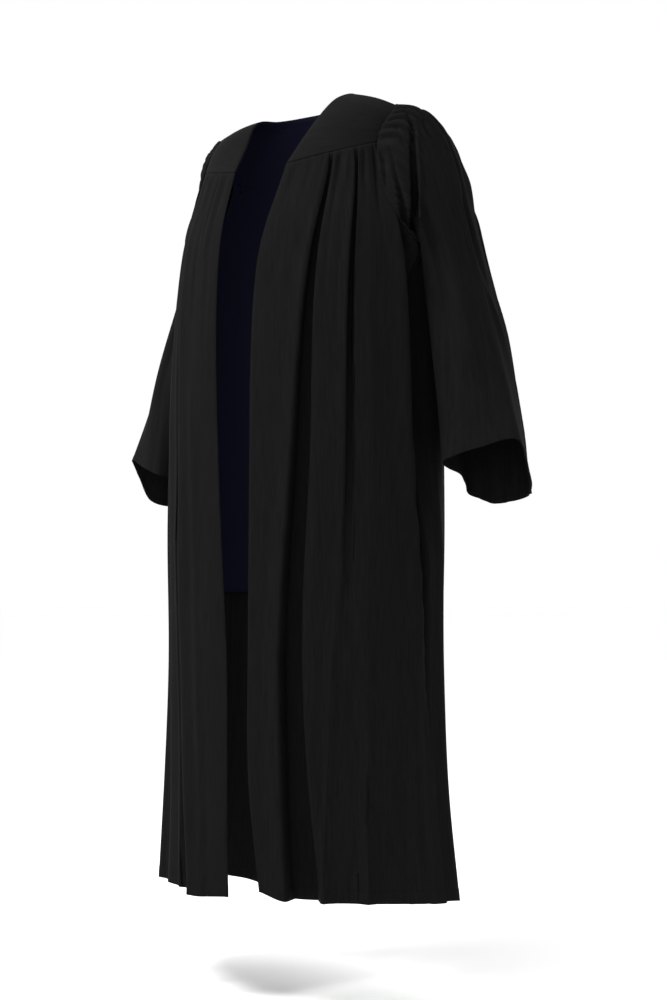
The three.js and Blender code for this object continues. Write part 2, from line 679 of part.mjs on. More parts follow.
// Depth of the valley beside the fold that falls from a sleeve's head.
function headFallDepth(point, turn) {
  const heights = headFall.z.map((z) => -z);
  const at = (name) => through(heights, headFall[name], -point.z);
  const across = point.x * Math.cos(radians(fallDirection)) + point.y * Math.sin(radians(fallDirection));
  const away = at("place") - across;
  const wide = at("wide");
  if (away < 0 || away > wide) return 0;
  const valley = valleyShare * wide;
  const form = away < valley ? smoothStep(0, valley, away) : 1 - smoothStep(valley, wide, away);
  return at("depth") * form * smoothStep(10, 40, turn) * (1 - smoothStep(150, 175, turn));
}

// Rows lie closer together at the gathered head.
const sleeveRow = (row) => (row === 1 ? squareRow : (row / sleeveRows) ** 1.35);

function sleeveGrid(turns, edges, isRight) {
  const side = isRight ? -1 : 1;
  const sections = isRight ? rightSections : leftSections;
  const smooth = turns.map((turn, k) => {
    const place = armholePlace(turn);
    const outward = torsoNormal(place.angle, place.z);
    const edge = edges[k];
    const left = (vector) => new THREE.Vector3(vector.x * side, vector.y, vector.z);
    const start = sleeveStart({ normal: left(edge.normal), into: left(edge.into) }, outward);
    const first = left(edge.at).addScaledVector(outward, start);
    const stand = first.clone().addScaledVector(outward, standOut);
    const rows = Array.from({ length: sleeveRows + 1 }, (_, row) => sleeveRow(row));
    return rows.map((along) => sleeveForm(sections, first, stand, turn, along));
  });
  const normals = gridNormals(smooth, -1, true);
  return smooth.map((line, i) =>
    line.map((point, row) => {
      const along = sleeveRow(row);
      const fall = headFallDepth(point, turns[i]) * smoothStep(0.01, 0.05, along);
      const height = sleeveFoldHeight(turns[i], along, i) - fall;
      const moved = point.clone().addScaledVector(normals[i][row], height);
      return new THREE.Vector3(moved.x * side, moved.y, moved.z);
    }),
  );
}

// The lining lies inside the yoke, then hangs smoothly inside the back.
function liningGrid() {
  return Array.from({ length: liningColumns + 1 }, (_, k) => {
    const share = k / liningColumns;
    const points = [];
    for (let row = 0; row <= liningYokeRows; row += 1) {
      const across = row / liningYokeRows;
      const inside = through(liningYokeInside.across, liningYokeInside.by, across);
      const edge = 0.12 + 1.93 * across ** 2.6;
      const station = edge + (6 - 2 * edge) * share;
      const here = yokePoint(station, across);
      const above = Math.max(0, across - 0.02);
      const below = Math.min(1, across + 0.02);
      const round = yokePoint(station + 0.02, across).sub(yokePoint(station - 0.02, across));
      const down = yokePoint(station, below).sub(yokePoint(station, above));
      points.push(here.addScaledVector(down.cross(round).normalize(), -inside));
    }
    const station = 2.05 + 1.9 * share;
    const seamAngle = backCorner + (180 - backCorner) * (station - 2);
    const top = backSeamZ(seamAngle);
    for (let row = 1; row <= liningRows; row += 1) {
      const z = top + (liningHem - top) * (row / liningRows) ** 1.4;
      const edge = through(liningEdge.z.map((value) => -value), liningEdge.angle, -z);
      const angle = edge + (360 - 2 * edge) * share;
      const by = through(liningInside.z.map((value) => -value), liningInside.by, -z);
      points.push(torso(angle, z).addScaledVector(torsoNormal(angle, z), -by));
    }
    return points;
  });
}

const gown = new THREE.Group();

function addPiece(name, geometry, color) {
  const material = new THREE.MeshStandardMaterial({ color, roughness: 0.82, metalness: 0 });
  const piece = new THREE.Mesh(geometry, material);
  piece.name = name;
  gown.add(piece);
}

const black = 0x17171a;
const navy = 0x0d0d1c;
const yoke = yokeGrid();
const frontLeft = panelGrid(leftFront);
const rightUnmirrored = panelGrid(rightFront);
const frontRight = { points: mirrorAll(rightUnmirrored.points), normals: mirrorAll(rightUnmirrored.normals) };
const backPanel = panelGrid(back);
const turns = armholeTurns();

addPiece("yoke", wall(yoke.points, yoke.normals, clothThickness, 1), black);
addPiece("front_left", wall(frontLeft.points, frontLeft.normals, clothThickness, 1), black);
addPiece("front_right", wall(frontRight.points, frontRight.normals, clothThickness, -1), black);
addPiece("back", wall(backPanel.points, backPanel.normals, clothThickness, 1), black);
for (const isRight of [false, true]) {
  const edges = armholeEdges(turns, yoke, isRight ? frontRight : frontLeft, backPanel, isRight);
  const facing = isRight ? -1 : 1;
  const sleeve = sleeveGrid(turns, edges, isRight);
  const normals = gridNormals(sleeve, facing, true);
  const name = isRight ? "sleeve_right" : "sleeve_left";
  addPiece(name, wall(sleeve, normals, clothThickness, facing, true), black);
}
const lining = liningGrid();
addPiece("back_lining", wall(lining, gridNormals(lining, 1, false), liningThickness, 1), navy);

export default gown;
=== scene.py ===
"""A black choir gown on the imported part.

It has a yoke, pleated fronts, a full back, gathered bell sleeves and a navy lining.
"""
import math

import bmesh
import bpy
import numpy as np
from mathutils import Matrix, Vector


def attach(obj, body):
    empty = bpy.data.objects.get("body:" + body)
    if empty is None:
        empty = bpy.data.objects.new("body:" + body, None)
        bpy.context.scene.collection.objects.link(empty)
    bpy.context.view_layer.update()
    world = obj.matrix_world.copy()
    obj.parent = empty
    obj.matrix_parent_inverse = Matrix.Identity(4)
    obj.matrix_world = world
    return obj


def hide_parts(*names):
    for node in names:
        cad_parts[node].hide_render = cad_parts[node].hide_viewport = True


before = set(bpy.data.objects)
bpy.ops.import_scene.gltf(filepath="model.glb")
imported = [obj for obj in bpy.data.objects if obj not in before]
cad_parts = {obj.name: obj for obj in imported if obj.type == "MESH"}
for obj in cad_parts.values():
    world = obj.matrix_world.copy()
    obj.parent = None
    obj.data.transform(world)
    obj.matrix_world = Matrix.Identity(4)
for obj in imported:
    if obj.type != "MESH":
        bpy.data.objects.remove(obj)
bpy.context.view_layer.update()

bl_info = {
    "name": "Choir Gown",
    "version": (1, 0, 0),
    "blender": (4, 5, 0),
    "location": "3D View > Sidebar > Gown",
    "description": "Builds a black open-front choir gown in the form it takes on a wearer",
    "category": "Object",
}

# Sizes below are in millimetres, and angles are degrees round the torso from the front middle towards the
# wearer's left. Heights are from the neck points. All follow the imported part.
MM = 0.001  # metres in a millimetre
MIRROR = np.array([-1.0, 1.0, 1.0])
DEGREE = 4.6  # usual length of a degree round the torso
SEAM_DEGREE = 3.4  # the same at the yoke seam

SHOULDER_CORNER = 68  # angle where the front yoke seam meets the armhole
BACK_CORNER = 110  # angle where the back yoke seam meets it
CORNER_TURN = 62  # turn round the armhole from the shoulder to either corner
FRONT_SEAM = {"corner_z": -95, "drop": 0.6}  # the front seam drops by this much a degree towards the middle
BACK_SEAM = {"corner_z": -105, "dip": 22}  # the back seam dips by this much in the middle
SEAM_GAP = 0.3
RIGHT_SHOULDER_DROP = 4
# The body is drawn in under each arm: how far, over how many degrees to each side of the side seam, and the
# depths below the neck points between which this starts and ends.
SIDE_TUCK = {"by": 36, "reach": 18, "starts": (266, 330), "ends": (560, 800)}
LINING_HEM = -827

TORSO_SECTIONS = {
    "z": [-26, -60, -95, -125, -250, -450, -700, -950, -1150, -1360],
    "half": [188, 190, 198, 205, 236, 252, 259, 258, 268, 291],
    "front": [62, 95, 112, 121, 158, 176, 180, 181, 185, 192],
    "back": [62, 92, 108, 116, 136, 164, 170, 164, 159, 158],
    "pinch": [0, 0, 0, 0, 0, 0, 0.01, 0.025, 0.045, 0.075],
}
ARMHOLE = {
    "turn": [0, 34, 62, 98, 138, 180, 222, 262, 298, 326, 360],
    "angle": [90, 76, 68, 66, 73, 90, 102, 107, 110, 105, 90],
    "z": [-26, -58, -95, -155, -222, -262, -222, -158, -105, -62, -26],
}
# Places along the yoke are stations: 0 and 6 are its front ends, 1 and 5 the neck points, 2 and 4 the back
# corners of the armholes, and 3 the middle of the back.
NECKLINE = {
    "station": [0, 0.45, 0.75, 1, 1.5, 2, 3, 4, 4.5, 5, 5.25, 5.55, 6],
    "at": [
        (54, -116, -125), (72, -66, -51), (86, -32, -9), (96, -3, 7), (88, 36, 12), (66, 62, 12), (0, 86, 12),
        (-66, 62, 3), (-87, 36, -4), (-94, -3, -11), (-84, -34, -29), (-70, -68, -70), (-54, -116, -125),
    ],
}
YOKE_BULGE = {
    "station": [0, 0.5, 1, 1.6, 3],
    "by": [(6, 13, -3), (3, 17, 4), (0, 0, 4), (3, -12, 4), (0, -7, 2)],
}

# A fold's row has its kind, the angle where it starts on the seam, its angle at each level, and its width and
# depth, first at the seam and then at each level. A pleat has a lip that overhangs a valley. A deep pleat has
# a level floor between steep sides. A roll is a soft ridge, or a hollow where its depth is negative. A crease
# is a ridge with a sharp top.
LEVELS = [-300, -600, -900, -1120, -1310]
FRONT_CORNER = (SHOULDER_CORNER, [71, 72, 74, 74, 75])
LEFT_FRONT = {
    "edge": (15.1, [7, 6.3, 5.8, 6.6, 11.5]),
    "corner": FRONT_CORNER,
    "side": (90, [90] * 5),
    "hem": ([0, 11, 20, 45, 90], [-1293, -1297, -1309, -1310, -1313]),
    "folds": [
        ("roll", 24, [16, 14, 12, 12, 15], [5, 8, 12, 12, 12, 14], [-3, -1, 0, 0, 0, 0]),
        ("deep", 37.5, [28.2, 22.4, 18, 18.4, 20.1], [9, 20, 36, 42, 50, 60], [8, 24, 34, 38, 40, 44]),
        ("roll", 43.5, [37, 34, 31, 31, 36], [5, 8, 14, 20, 22, 22], [-3.5, -1.5, 1, 2, 3, 3]),
        ("deep", 51.5, [45.5, 43.6, 43.4, 43, 42.5], [9, 16, 20, 18, 24, 30], [7, 20, 12, 0, 0, 0]),
        ("crease", 55.5, [50, 45, 41, 38, 35], [5, 8, 9, 12, 14, 16], [0, 0, 0, 3, 5, 6]),
        ("roll", 61, [57, 56, 54, 54, 52], [5, 12, 20, 24, 22, 20], [-3, 1, 2, 2, 3, 4]),
        ("crease", 64, [60, 58, 56, 54, 52.5], [5, 8, 9, 10, 12, 14], [0, 0, 0, 0, 5, 8]),
        ("deep", 72, [73.2, 74.5, 81, 88, 89], [8, 42, 46, 28, 12, 12], [8, 40, 40, 14, 2, 0]),
        ("crease", 78, [79, 80.5, 83, 88, 89], [5, 6, 6, 10, 12, 12], [0, 14, 0, 0, 0, 0]),
        ("roll", 80, [82, 79.5, 78, 77, 76], [8, 16, 16, 20, 24, 28], [0, 0, 1, 5, 7, 9]),
    ],
    # Pressed creases across the cloth: height, from and to angle, depth.
    "pressed": [(-1163, 9, 19, 0.6), (-1171, 12, 25, -0.5), (-742, 30, 44, 0.35)],
    # Gathers: where each starts on the yoke seam, its half width, its depth and how far down it reaches.
    "gathers": [
        (18.5, 4, 1.6, 70), (21.5, 3, -1.8, 90), (24.5, 4, 2.2, 130), (28.5, 4.5, -2.2, 105),
        (33, 4.5, 1.4, 80), (41, 4, 2, 90), (45, 4, -2.4, 120), (48.5, 4, 2, 100), (55, 4, 1.6, 80),
        (58, 3.5, -2.2, 110), (61.5, 4, 2.6, 150), (65, 3.5, -3, 160),
    ],
}
RIGHT_FRONT = {
    "edge": (15.8, [13.2, 8.8, 4.3, 2.7, 0.8]),
    "corner": FRONT_CORNER,
    "side": (90, [90] * 5),
    "hem": ([0, 2, 18, 30, 90], [-1311, -1311, -1318, -1311, -1313]),
    "folds": [
        ("roll", 24, [21, 16, 12, 10, 8], [5, 9, 14, 16, 18, 20], [-3, -2, 0, 0, 0, 0]),
        ("roll", 33, [31, 25, 22, 18, 13.5], [5, 9, 14, 16, 16, 16], [-3, -2, 2, 2, 3, 3]),
        ("pleat", 43, [41, 34.2, 33.4, 27, 19.2], [9, 14, 22, 28, 34, 42], [6, 11, 15, 19, 25, 31]),
        ("crease", 46, [46, 41, 39, 34, 29], [5, 8, 9, 10, 12, 14], [0, 1, 2, 3, 4, 4]),
        ("pleat", 53, [53, 51, 49, 45, 40], [9, 13, 18, 24, 30, 36], [6, 10, 11, 12, 15, 19]),
        ("roll", 61, [62, 62, 62, 59, 56], [5, 12, 20, 24, 22, 24], [-3, 2, 4, 5, 7, 10]),
        ("pleat", 72, [73.5, 74, 72, 70, 68], [8, 16, 20, 24, 28, 34], [6, 8, 5, 5, 7, 10]),
        ("roll", 80, [82, 81, 81, 80, 79], [8, 16, 16, 20, 24, 28], [0, 2, 5, 6, 7, 9]),
    ],
    "pressed": [(-1160, 2, 14, 0.5), (-735, 20, 34, 0.35)],
    "gathers": [
        (19, 3.5, 1.8, 80), (22.5, 3.5, -2.4, 120), (26, 3.5, 2.4, 150), (29.5, 3.5, -2.6, 170),
        (33, 3.5, 2.4, 150), (36.5, 3.5, -2.2, 120), (40, 4, 2, 90), (46, 4, -2.2, 110), (50, 4, 2, 100),
        (56, 4, -2, 110), (60, 4, 2.4, 140), (64.5, 3.5, -2.6, 150),
    ],
}
BACK = {
    "edge": (90, [90] * 5),
    "corner": (BACK_CORNER, [108, 107, 106, 106, 106]),
    "far_corner": (360 - BACK_CORNER, [252, 253, 254, 254, 254]),
    "side": (270, [270] * 5),
    "hem": ([90, 110, 140, 180, 220, 250, 270], [-1313, -1323, -1346, -1356, -1346, -1323, -1313]),
    "folds": [
        ("roll", 100, [99, 99, 99, 98, 98], [8, 14, 18, 22, 26, 30], [0, 2, 6, 8, 10, 11]),
        ("pleat", 119, [119, 117, 116, 115, 114], [10, 18, 26, 32, 38, 44], [3, 5, 8, 10, 14, 18]),
        ("roll", 133, [132, 131, 130, 130, 130], [8, 14, 20, 26, 30, 34], [2, 4, 6, 8, 11, 14]),
        ("pleat", 146, [145, 144, 143, 143, 143], [10, 18, 26, 32, 38, 46], [3, 5, 8, 10, 15, 20]),
        ("roll", 162, [162, 162, 161, 161, 160], [8, 14, 20, 26, 30, 32], [2, 4, 5, 8, 10, 13]),
        ("pleat", 176, [176, 175, 175, 174, 174], [10, 18, 26, 32, 40, 48], [3, 5, 8, 11, 15, 21]),
        ("roll", 194, [194, 195, 195, 196, 196], [8, 14, 20, 26, 30, 34], [2, 4, 6, 8, 11, 14]),
        ("pleat", 209, [210, 210, 210, 210, 211], [10, 18, 26, 32, 38, 44], [3, 5, 8, 10, 14, 18]),
        ("roll", 227, [228, 228, 229, 229, 230], [8, 14, 20, 26, 30, 34], [2, 4, 6, 8, 10, 13]),
        ("pleat", 239, [240, 240, 241, 241, 242], [8, 16, 24, 30, 36, 40], [3, 5, 7, 9, 12, 15]),
        ("roll", 260, [261, 261, 261, 262, 262], [8, 14, 18, 22, 26, 28], [0, 2, 6, 8, 9, 10]),
    ],
    "pressed": [(-1166, 150, 172, 0.5), (-738, 196, 214, 0.4), (-1170, 222, 238, -0.4)],
    "gathers": [
        (114, 4.5, 2, 110), (117, 4, -2.2, 140), (123, 4.5, 2.4, 150), (128, 4.5, -2.4, 130),
        (137, 4.5, 2.2, 140), (141, 4, -2.4, 160), (150, 4.5, 2, 120), (155, 4.5, -2.2, 140),
        (160, 4.5, 2.4, 160), (167, 4.5, -2, 120), (172, 4, 2.2, 130), (181, 4.5, -2.4, 150),
        (186, 4.5, 2.2, 140), (191, 4, -2, 120), (199, 4.5, 2.4, 150), (204, 4.5, -2.2, 130),
        (214, 4.5, 2, 140), (219, 4, -2.4, 160), (223, 4.5, 2.2, 120), (231, 4.5, -2.2, 150),
        (236, 4.5, 2.4, 140), (244, 4, -2, 120), (247.5, 4, 2, 110),
    ],
}

# Sections of a sleeve: place along it, middle, half width along a line that leans from level, the lean,
# half the depth from front to back, and how far the back stands further out.
SECTIONS = ("along", "x", "y", "z", "half", "lean", "depth", "skew")
LEFT_SLEEVE = [
    (0.06, 239, 10, -151, 112, 94, 54, 16),
    (0.12, 254, 26, -172, 97, 86, 57, 12),
    (0.2, 262, 39, -205, 82, 81, 60, 8),
    (0.38, 274, 58, -296, 47, 56, 62, 5),
    (0.68, 304, 55, -445, 51, 14, 73, 4),
]
RIGHT_SLEEVE = [
    (0.06, 237, 16, -156, 107, 96, 52, 26),
    (0.12, 248, 36, -178, 93, 89, 52, 34),
    (0.2, 254, 50, -212, 76, 86, 54, 29),
    (0.38, 271, 60, -296, 46, 58, 60, 8),
    (0.68, 304, 55, -445, 51, 14, 73, 4),
]
# A sleeve starts a little outside the armhole and stands straight out from it up to a place along it.
SLEEVE_HEAD = {"gap": 0.5, "stand": 5, "along": 0.015}
CUFF = {
    "turn": [0, 14, 50, 92, 130, 170, 210, 245, 295, 334, 360],
    "at": [
        (414, 34, -614), (408, 13, -588), (362, -16, -599), (308, -36, -617), (288, 0, -625), (283, 45, -640),
        (288, 92, -669), (312, 109, -683), (370, 102, -672), (410, 62, -658), (414, 34, -614),
    ],
}
# Gathers of a sleeve head at its seam: turn round the armhole, half width in degrees, depth, and how far
# along the sleeve they reach. Those of the right sleeve are shallower by a share.
RIGHT_HEAD_SHARE = 0.5
HEAD_GATHERS = [
    (-60, 4, -2.4, 0.1), (-53, 4, 3.1, 0.16), (-46, 4, -3.1, 0.12), (-39, 4, 3.4, 0.2),
    (-32, 4, -3.1, 0.14), (-25, 4, 3.4, 0.15), (-18, 3.6, -3.1, 0.18), (-11, 3.6, 3.4, 0.2),
    (-4, 3.6, -3.4, 0.16), (3, 3.6, 3.4, 0.22), (10, 3.6, -3.4, 0.18), (17, 3.6, 3.4, 0.15),
    (23, 3.4, -3.7, 0.22), (29, 3.4, 3.7, 0.16), (35, 3.4, -3.7, 0.2), (41, 3.4, 3.7, 0.14),
    (47, 3.4, -3.7, 0.22), (53, 3.6, 3.7, 0.14), (60, 4, -3.4, 0.2), (69, 5, 1.4, 0.1),
    (79, 5, -1.2, 0.09), (92, 6, 1, 0.08), (270, 6, 1, 0.08), (284, 5, -1.2, 0.09), (293, 5, 1.4, 0.1),
]
# Folds that fall from a sleeve head, in front of the arm or behind it. By height: place along a level line
# that leans by FALL_LEAN from straight out, width and depth. side is -1 where a pleat's valley lies towards
# the body and 1 where it lies away from it.
FALL_LEAN = 37
FALLS = ("kind", "behind", "side", "z", "place", "wide", "depth")
LEFT_FALLS = [
    ("deep", False, -1, [-46, -70, -106, -138, -178, -259, -327, -383, -448, -562],
     [173, 182, 184, 186, 188, 186.5, 194, 203, 206, 219], [8, 10, 12, 14, 15, 15, 17, 20, 20, 18],
     [3, 8, 13, 20, 27, 30, 27, 20, 11, 0]),
    ("deep", False, 1, [-88, -109, -151, -191, -254, -287, -340, -420],
     [124, 137, 145.5, 153, 160, 163, 166, 172], [4, 5, 7, 10, 14, 13, 10, 8], [0, 3, 5, 12, 20, 20, 12, 0]),
    ("crease", False, 1, [-200, -235, -270, -310, -360],
     [171, 174, 174, 175, 178], [4, 5, 5, 5, 5], [0, 5, 6, 5, 0]),
    ("roll", False, 1, [-98, -112, -133, -167, -195],
     [122, 124, 129.5, 132.5, 135], [3, 4, 4.5, 4, 3], [0, -5, -7, -5, 0]),
    ("roll", False, 1, [-50, -60, -76, -94, -108],
     [137, 142, 152, 160, 165], [3, 4, 4, 4, 4], [0, -2.4, -3, -2.4, 0]),
    ("roll", False, 1, [-50, -62, -82, -100], [194, 197, 202, 206], [3, 4, 4, 4], [0, -2.4, -2.4, 0]),
    ("pleat", False, 1, [-84, -125, -165, -194, -272, -327, -470, -600],
     [230, 245.5, 253.5, 255, 272, 286, 318, 345], [6, 10, 14, 16, 18, 20, 24, 26],
     [0, 5, 9, 10, 9, 8, 6, 4]),
    ("pleat", True, -1, [-60, -100, -150, -200, -260, -330, -450, -560],
     [140, 152, 166, 177, 185, 191, 200, 206], [8, 14, 18, 20, 21, 22, 20, 18], [2, 6, 9, 12, 15, 13, 7, 0]),
    ("pleat", True, 1, [-100, -140, -190, -240, -300, -350],
     [136, 147, 160, 170, 176, 178], [4, 5, 7, 9, 9, 8], [0, 2, 4, 7, 5, 0]),
    ("crease", True, 1, [-90, -140, -200, -300, -450, -600],
     [176, 188, 200, 212, 226, 238], [6, 8, 10, 12, 14, 14], [0, 2, 3, 3.5, 3, 2]),
]
RIGHT_FALLS = [
    ("deep", False, -1, [-52, -80, -120, -170, -230, -300, -360, -450, -560],
     [168, 177, 181, 185, 190, 192, 198, 206, 214], [8, 11, 13, 15, 16, 17, 19, 20, 18],
     [3, 7, 12, 17, 22, 23, 18, 9, 0]),
    ("roll", False, 1, [-60, -80, -110, -130], [146, 152, 160, 164], [3, 4, 4, 4], [0, -2.4, -2.6, 0]),
    ("roll", False, 1, [-96, -120, -160, -190], [124, 129, 133, 136], [3, 4, 4.5, 3], [0, -3, -3, 0]),
    ("pleat", True, -1, [-66, -104, -150, -200, -260, -330, -450, -560],
     [146, 156, 168, 178, 187, 193, 202, 208], [8, 13, 17, 20, 21, 22, 20, 18], [2, 5, 8, 11, 13, 12, 7, 0]),
    ("crease", True, 1, [-96, -150, -210, -300, -450, -600],
     [172, 186, 198, 210, 224, 236], [6, 8, 10, 12, 14, 14], [0, 2, 3, 3, 3, 2]),
]
# Long folds of a sleeve: kind, turn, half width, and depth at the places along it.
FOLD_PLACES = [0.03, 0.2, 0.38, 0.68, 1]
SLEEVE_FOLDS = [
    ("roll", 14, 26, [0, 0, 1, 3, 2]),
    ("roll", 48, 22, [0, 3, 4, 3, 0]),
    ("roll", 84, 20, [0, -5, -6, -5, -3]),
    ("roll", 122, 24, [2, 9, 16, 9, 3]),
    ("roll", 165, 24, [0, 0, -2, -4, -6]),
    ("roll", 205, 22, [0, 2, 5, 8, 12]),
    ("roll", 246, 24, [0, -4, -6, -7, -8]),
    ("roll", 288, 24, [0, 4, 6, 6, 7]),
    ("roll", 330, 24, [0, -3, -4, -3, -2]),
    ("roll", 222, 7, [0, 0, 0, 0, 3]),
    ("roll", 268, 6, [0, 0, 0, 1, -3]),
    ("crease", 311, 8, [0, 0, 0, 1, 4]),
]
# The lining in the back: the angle of its edge and how far inside the gown cloth it hangs, by height.
LINING_EDGE = {
    "z": [-108, -128, -160, -222, -262, -300, -830],
    "angle": [107.5, 106.5, 104, 99.5, 91, 91, 91],
}
LINING_INSIDE = {"z": [-105, -127, -150, -200, -300, -600, -830], "by": [9, 8, 8, 10, 12, 15, 17]}
# The lining in the yoke, by share of the way out from the neck edge: how far inside it lies. Its ends leave
# the front ends of the yoke and run to the back corners of the armholes, and a little past them.
LINING_YOKE_INSIDE = {"across": [0, 0.25, 0.5, 0.75, 1], "by": [2.1, 5, 7, 8, 9]}
LINING_YOKE_END = {"from": 0.12, "run": 1.88, "curve": 2.6, "past": 0.3}
LINING_SEAM = {"across": 0.155, "wide": 0.02, "by": 0.9}  # a seam stands in along the yoke's lining
LINING_ROWS = {"yoke": [0, 0.07, 0.14, 0.155, 0.17, *np.linspace(0.2, 1, 21)], "back": 56, "spread": 1.3}
LINING_WIDTH = 780

# The yoke's cloth: its grid, which laps a little over the seam, and the cloth's length at one station.
YOKE_GRID = {"columns": 241, "rows": 25, "past": 1.014}
YOKE_STATION = 130

# Cloth that hangs free swells by slow waves: how many, their lengths across and along the cloth, and how far.
SWELL = {"waves": 7, "across": (70, 190), "along": (260, 620)}
SWELL_BY = {"panel": 0.9, "sleeve": 0.8, "lining": 1.6, "yoke": 0.5}
SEAM_PUCKER = {"by": 0.35, "turns": 0.75, "reach": 9}
YOKE_PUCKER = {"by": 0.3, "turns": 70, "fade": 22}
LAP = {"share": 0.42, "most": 6}  # how far a lip is pushed over its valley: share of its depth, and at most

# Rows of a panel, as distances from its seam and from its hem.
SEAM_ROWS = np.arange(0, 72, 4.5)
HEM_ROWS = np.array([22.0, 20.5, 19.0, 17.5, 16.0, 10.0, 5.0, 0.0])
MIDDLE_ROWS = 96
PANEL_LENGTH = 1200.0
# The forms of both pleats: height of the lip as a share of the depth, the power of its rise, and as shares of
# the width, where the lip starts to rise and to lean over and where the drop and the floor end.
PLEATS = {"pleat": (0.3, 1, 1, 0.8, 0.3, 0.55), "deep": (0.22, 1.5, 0.7, 0.6, 0.14, 0.78)}
# Where the columns of a panel lie across one.
PLEAT_COLUMNS = {"pleat": (0, 0.36, 1), "deep": (0, 0.07, 0.14, 0.5, 0.78, 0.89, 1)}
# Seeds of the swell of each piece.
SEEDS = {
    "front_left": 3, "front_right": 7, "back": 13, "sleeve_left": 17, "sleeve_right": 31, "yoke": 11,
    "lining": 5,
}

# The lights: place and the place each points to in metres, its size and its power in watts.
LIGHTS = (
    ("key_light", (-1.0, -1.65, 2.1), (0, 0, -0.1), (1.3, 1.3), 132),
    ("fill_light", (0.9, -3.6, 0.5), (0, 0, -0.4), (2.4, 2.4), 38),
    ("back_light", (1.0, 3.2, 1.6), (0, 0, -0.5), (2.4, 2.4), 25),
    ("inside_light", (0.07, -0.07, -0.72), (0.0, 1, -0.72), (0.05, 1.15), 2.4),
)
# The camera's place in metres, its turn from behind the gown's middle and its tilt up in degrees.
CAMERA = {"at": (1.866, -2.394, -0.818), "turn": 37, "tilt": 2.77, "lens": 64.69, "sensor": 36, "far": 60}
FLOOR_RADIUS = 60

GRAIN = 0.06  # noise on cloth is stretched along the warp by this scale
SLUB_SCALE, PATCH_SCALE = 620.0, 240.0
WAVE_LENGTH = 3.1832  # lengths of a thread to a unit of a wave texture's scale
HEM_LAYERS = 1.7  # thickness of a turned hem to that of the cloth
YOKE_LAYERS = 1.4  # the same for the yoke
STITCH_WIDE, STITCH_FLAT = 0.8, 0.35  # width of a stitch to that of the thread, and how much it is flattened


def through(keys, values, at):
    """A smooth curve through values at rising keys, level beyond its ends. values may hold points."""
    keys = np.asarray(keys, float)
    values = np.asarray(values, float)
    more = (1,) * (values.ndim - 1)
    at = np.clip(np.asarray(at, float), keys[0], keys[-1])
    rates = np.diff(values, axis=0) / np.diff(keys).reshape(-1, *more)
    middle = (values[2:] - values[:-2]) / (keys[2:] - keys[:-2]).reshape(-1, *more)
    slopes = np.concatenate([rates[:1], middle, rates[-1:]])
    i = np.clip(np.searchsorted(keys, at, side="right") - 1, 0, len(keys) - 2)
    span = (keys[i + 1] - keys[i]).reshape(at.shape + more)
    t = (at - keys[i]).reshape(at.shape + more) / span
    s = 1 - t
    return (
        values[i] * s * s * (1 + 2 * t) + slopes[i] * span * t * s * s
        + values[i + 1] * t * t * (3 - 2 * t) - slopes[i + 1] * span * t * t * s
    )


def smooth_step(low, high, at):
    t = np.clip((at - low) / (high - low), 0, 1)
    return t * t * (3 - 2 * t)


def unit(vectors):
    return vectors / np.maximum(np.linalg.norm(vectors, axis=-1, keepdims=True), 1e-9)


def by_height(table, name, z):
    """A column of a table at heights, between its rows of falling z."""
    return through([-value for value in table["z"]], table[name], -z)


def torso(angle, z):
    """Points on the torso, by angle and height."""
    angle, z = np.broadcast_arrays(np.asarray(angle, float), np.asarray(z, float))
    size = {name: by_height(TORSO_SECTIONS, name, z) for name in ("half", "front", "back", "pinch")}
    turn = np.radians(angle)
    pull = 1 - size["pinch"] * np.sin(2 * turn) ** 2
    reach = np.where(np.cos(turn) > 0, size["front"], size["back"])
    return np.stack([size["half"] * np.sin(turn) * pull, -reach * np.cos(turn) * pull, z], axis=-1)


def torso_normal(angle, z):
    around = torso(angle + 0.5, z) - torso(angle - 0.5, z)
    down = torso(angle, z - 2) - torso(angle, z + 2)
    return unit(np.cross(down, around))


def side_tuck(angle, z):
    """How far the body's cloth is drawn in under an arm, alike on every piece that meets the side seam."""
    from_seam = np.abs(np.mod(angle, 180) - 90)
    within = smooth_step(*SIDE_TUCK["starts"], -z) * (1 - smooth_step(*SIDE_TUCK["ends"], -z))
    return SIDE_TUCK["by"] * ridge(from_seam, SIDE_TUCK["reach"]) * within


def degree_length(angle, z):
    return np.linalg.norm(torso(angle + 0.5, z) - torso(angle - 0.5, z), axis=-1)


def front_seam_z(angle):
    return FRONT_SEAM["corner_z"] - FRONT_SEAM["drop"] * (SHOULDER_CORNER - angle)


def back_seam_z(angle):
    share = (angle - BACK_CORNER) / (360 - 2 * BACK_CORNER)
    return BACK_SEAM["corner_z"] - BACK_SEAM["dip"] * np.sin(np.pi * share)


def shoulder_drop(z):
    """How much lower the right shoulder is than the left, by height."""
    return RIGHT_SHOULDER_DROP * smooth_step(FRONT_SEAM["corner_z"], ARMHOLE["z"][0], z)


def armhole_place(turn):
    turn = np.mod(turn, 360)
    return through(ARMHOLE["turn"], ARMHOLE["angle"], turn), through(ARMHOLE["turn"], ARMHOLE["z"], turn)


def top_place(top):
    """Angle and height of the place on a panel's top edge: on the yoke seam, or down the armhole."""
    def down(start, end):
        return CORNER_TURN + (180 - CORNER_TURN) * (top - start) / (end - start)

    if top <= SHOULDER_CORNER:
        return top, front_seam_z(top) - SEAM_GAP
    if top <= 90:
        angle, z = armhole_place(down(SHOULDER_CORNER, 90))
    elif top < BACK_CORNER:
        angle, z = armhole_place(360 - down(BACK_CORNER, 90))
    elif top <= 360 - BACK_CORNER:
        return top, float(back_seam_z(top)) - SEAM_GAP
    else:
        angle, z = armhole_place(360 - down(360 - BACK_CORNER, 270))
        angle = 360 - angle
    return float(angle), float(z)


def fold_line(top, at):
    """Keys down from the seam and the fold's angle at each."""
    angle, z = top_place(top)
    return [-z] + [-level for level in LEVELS], [angle] + list(at)


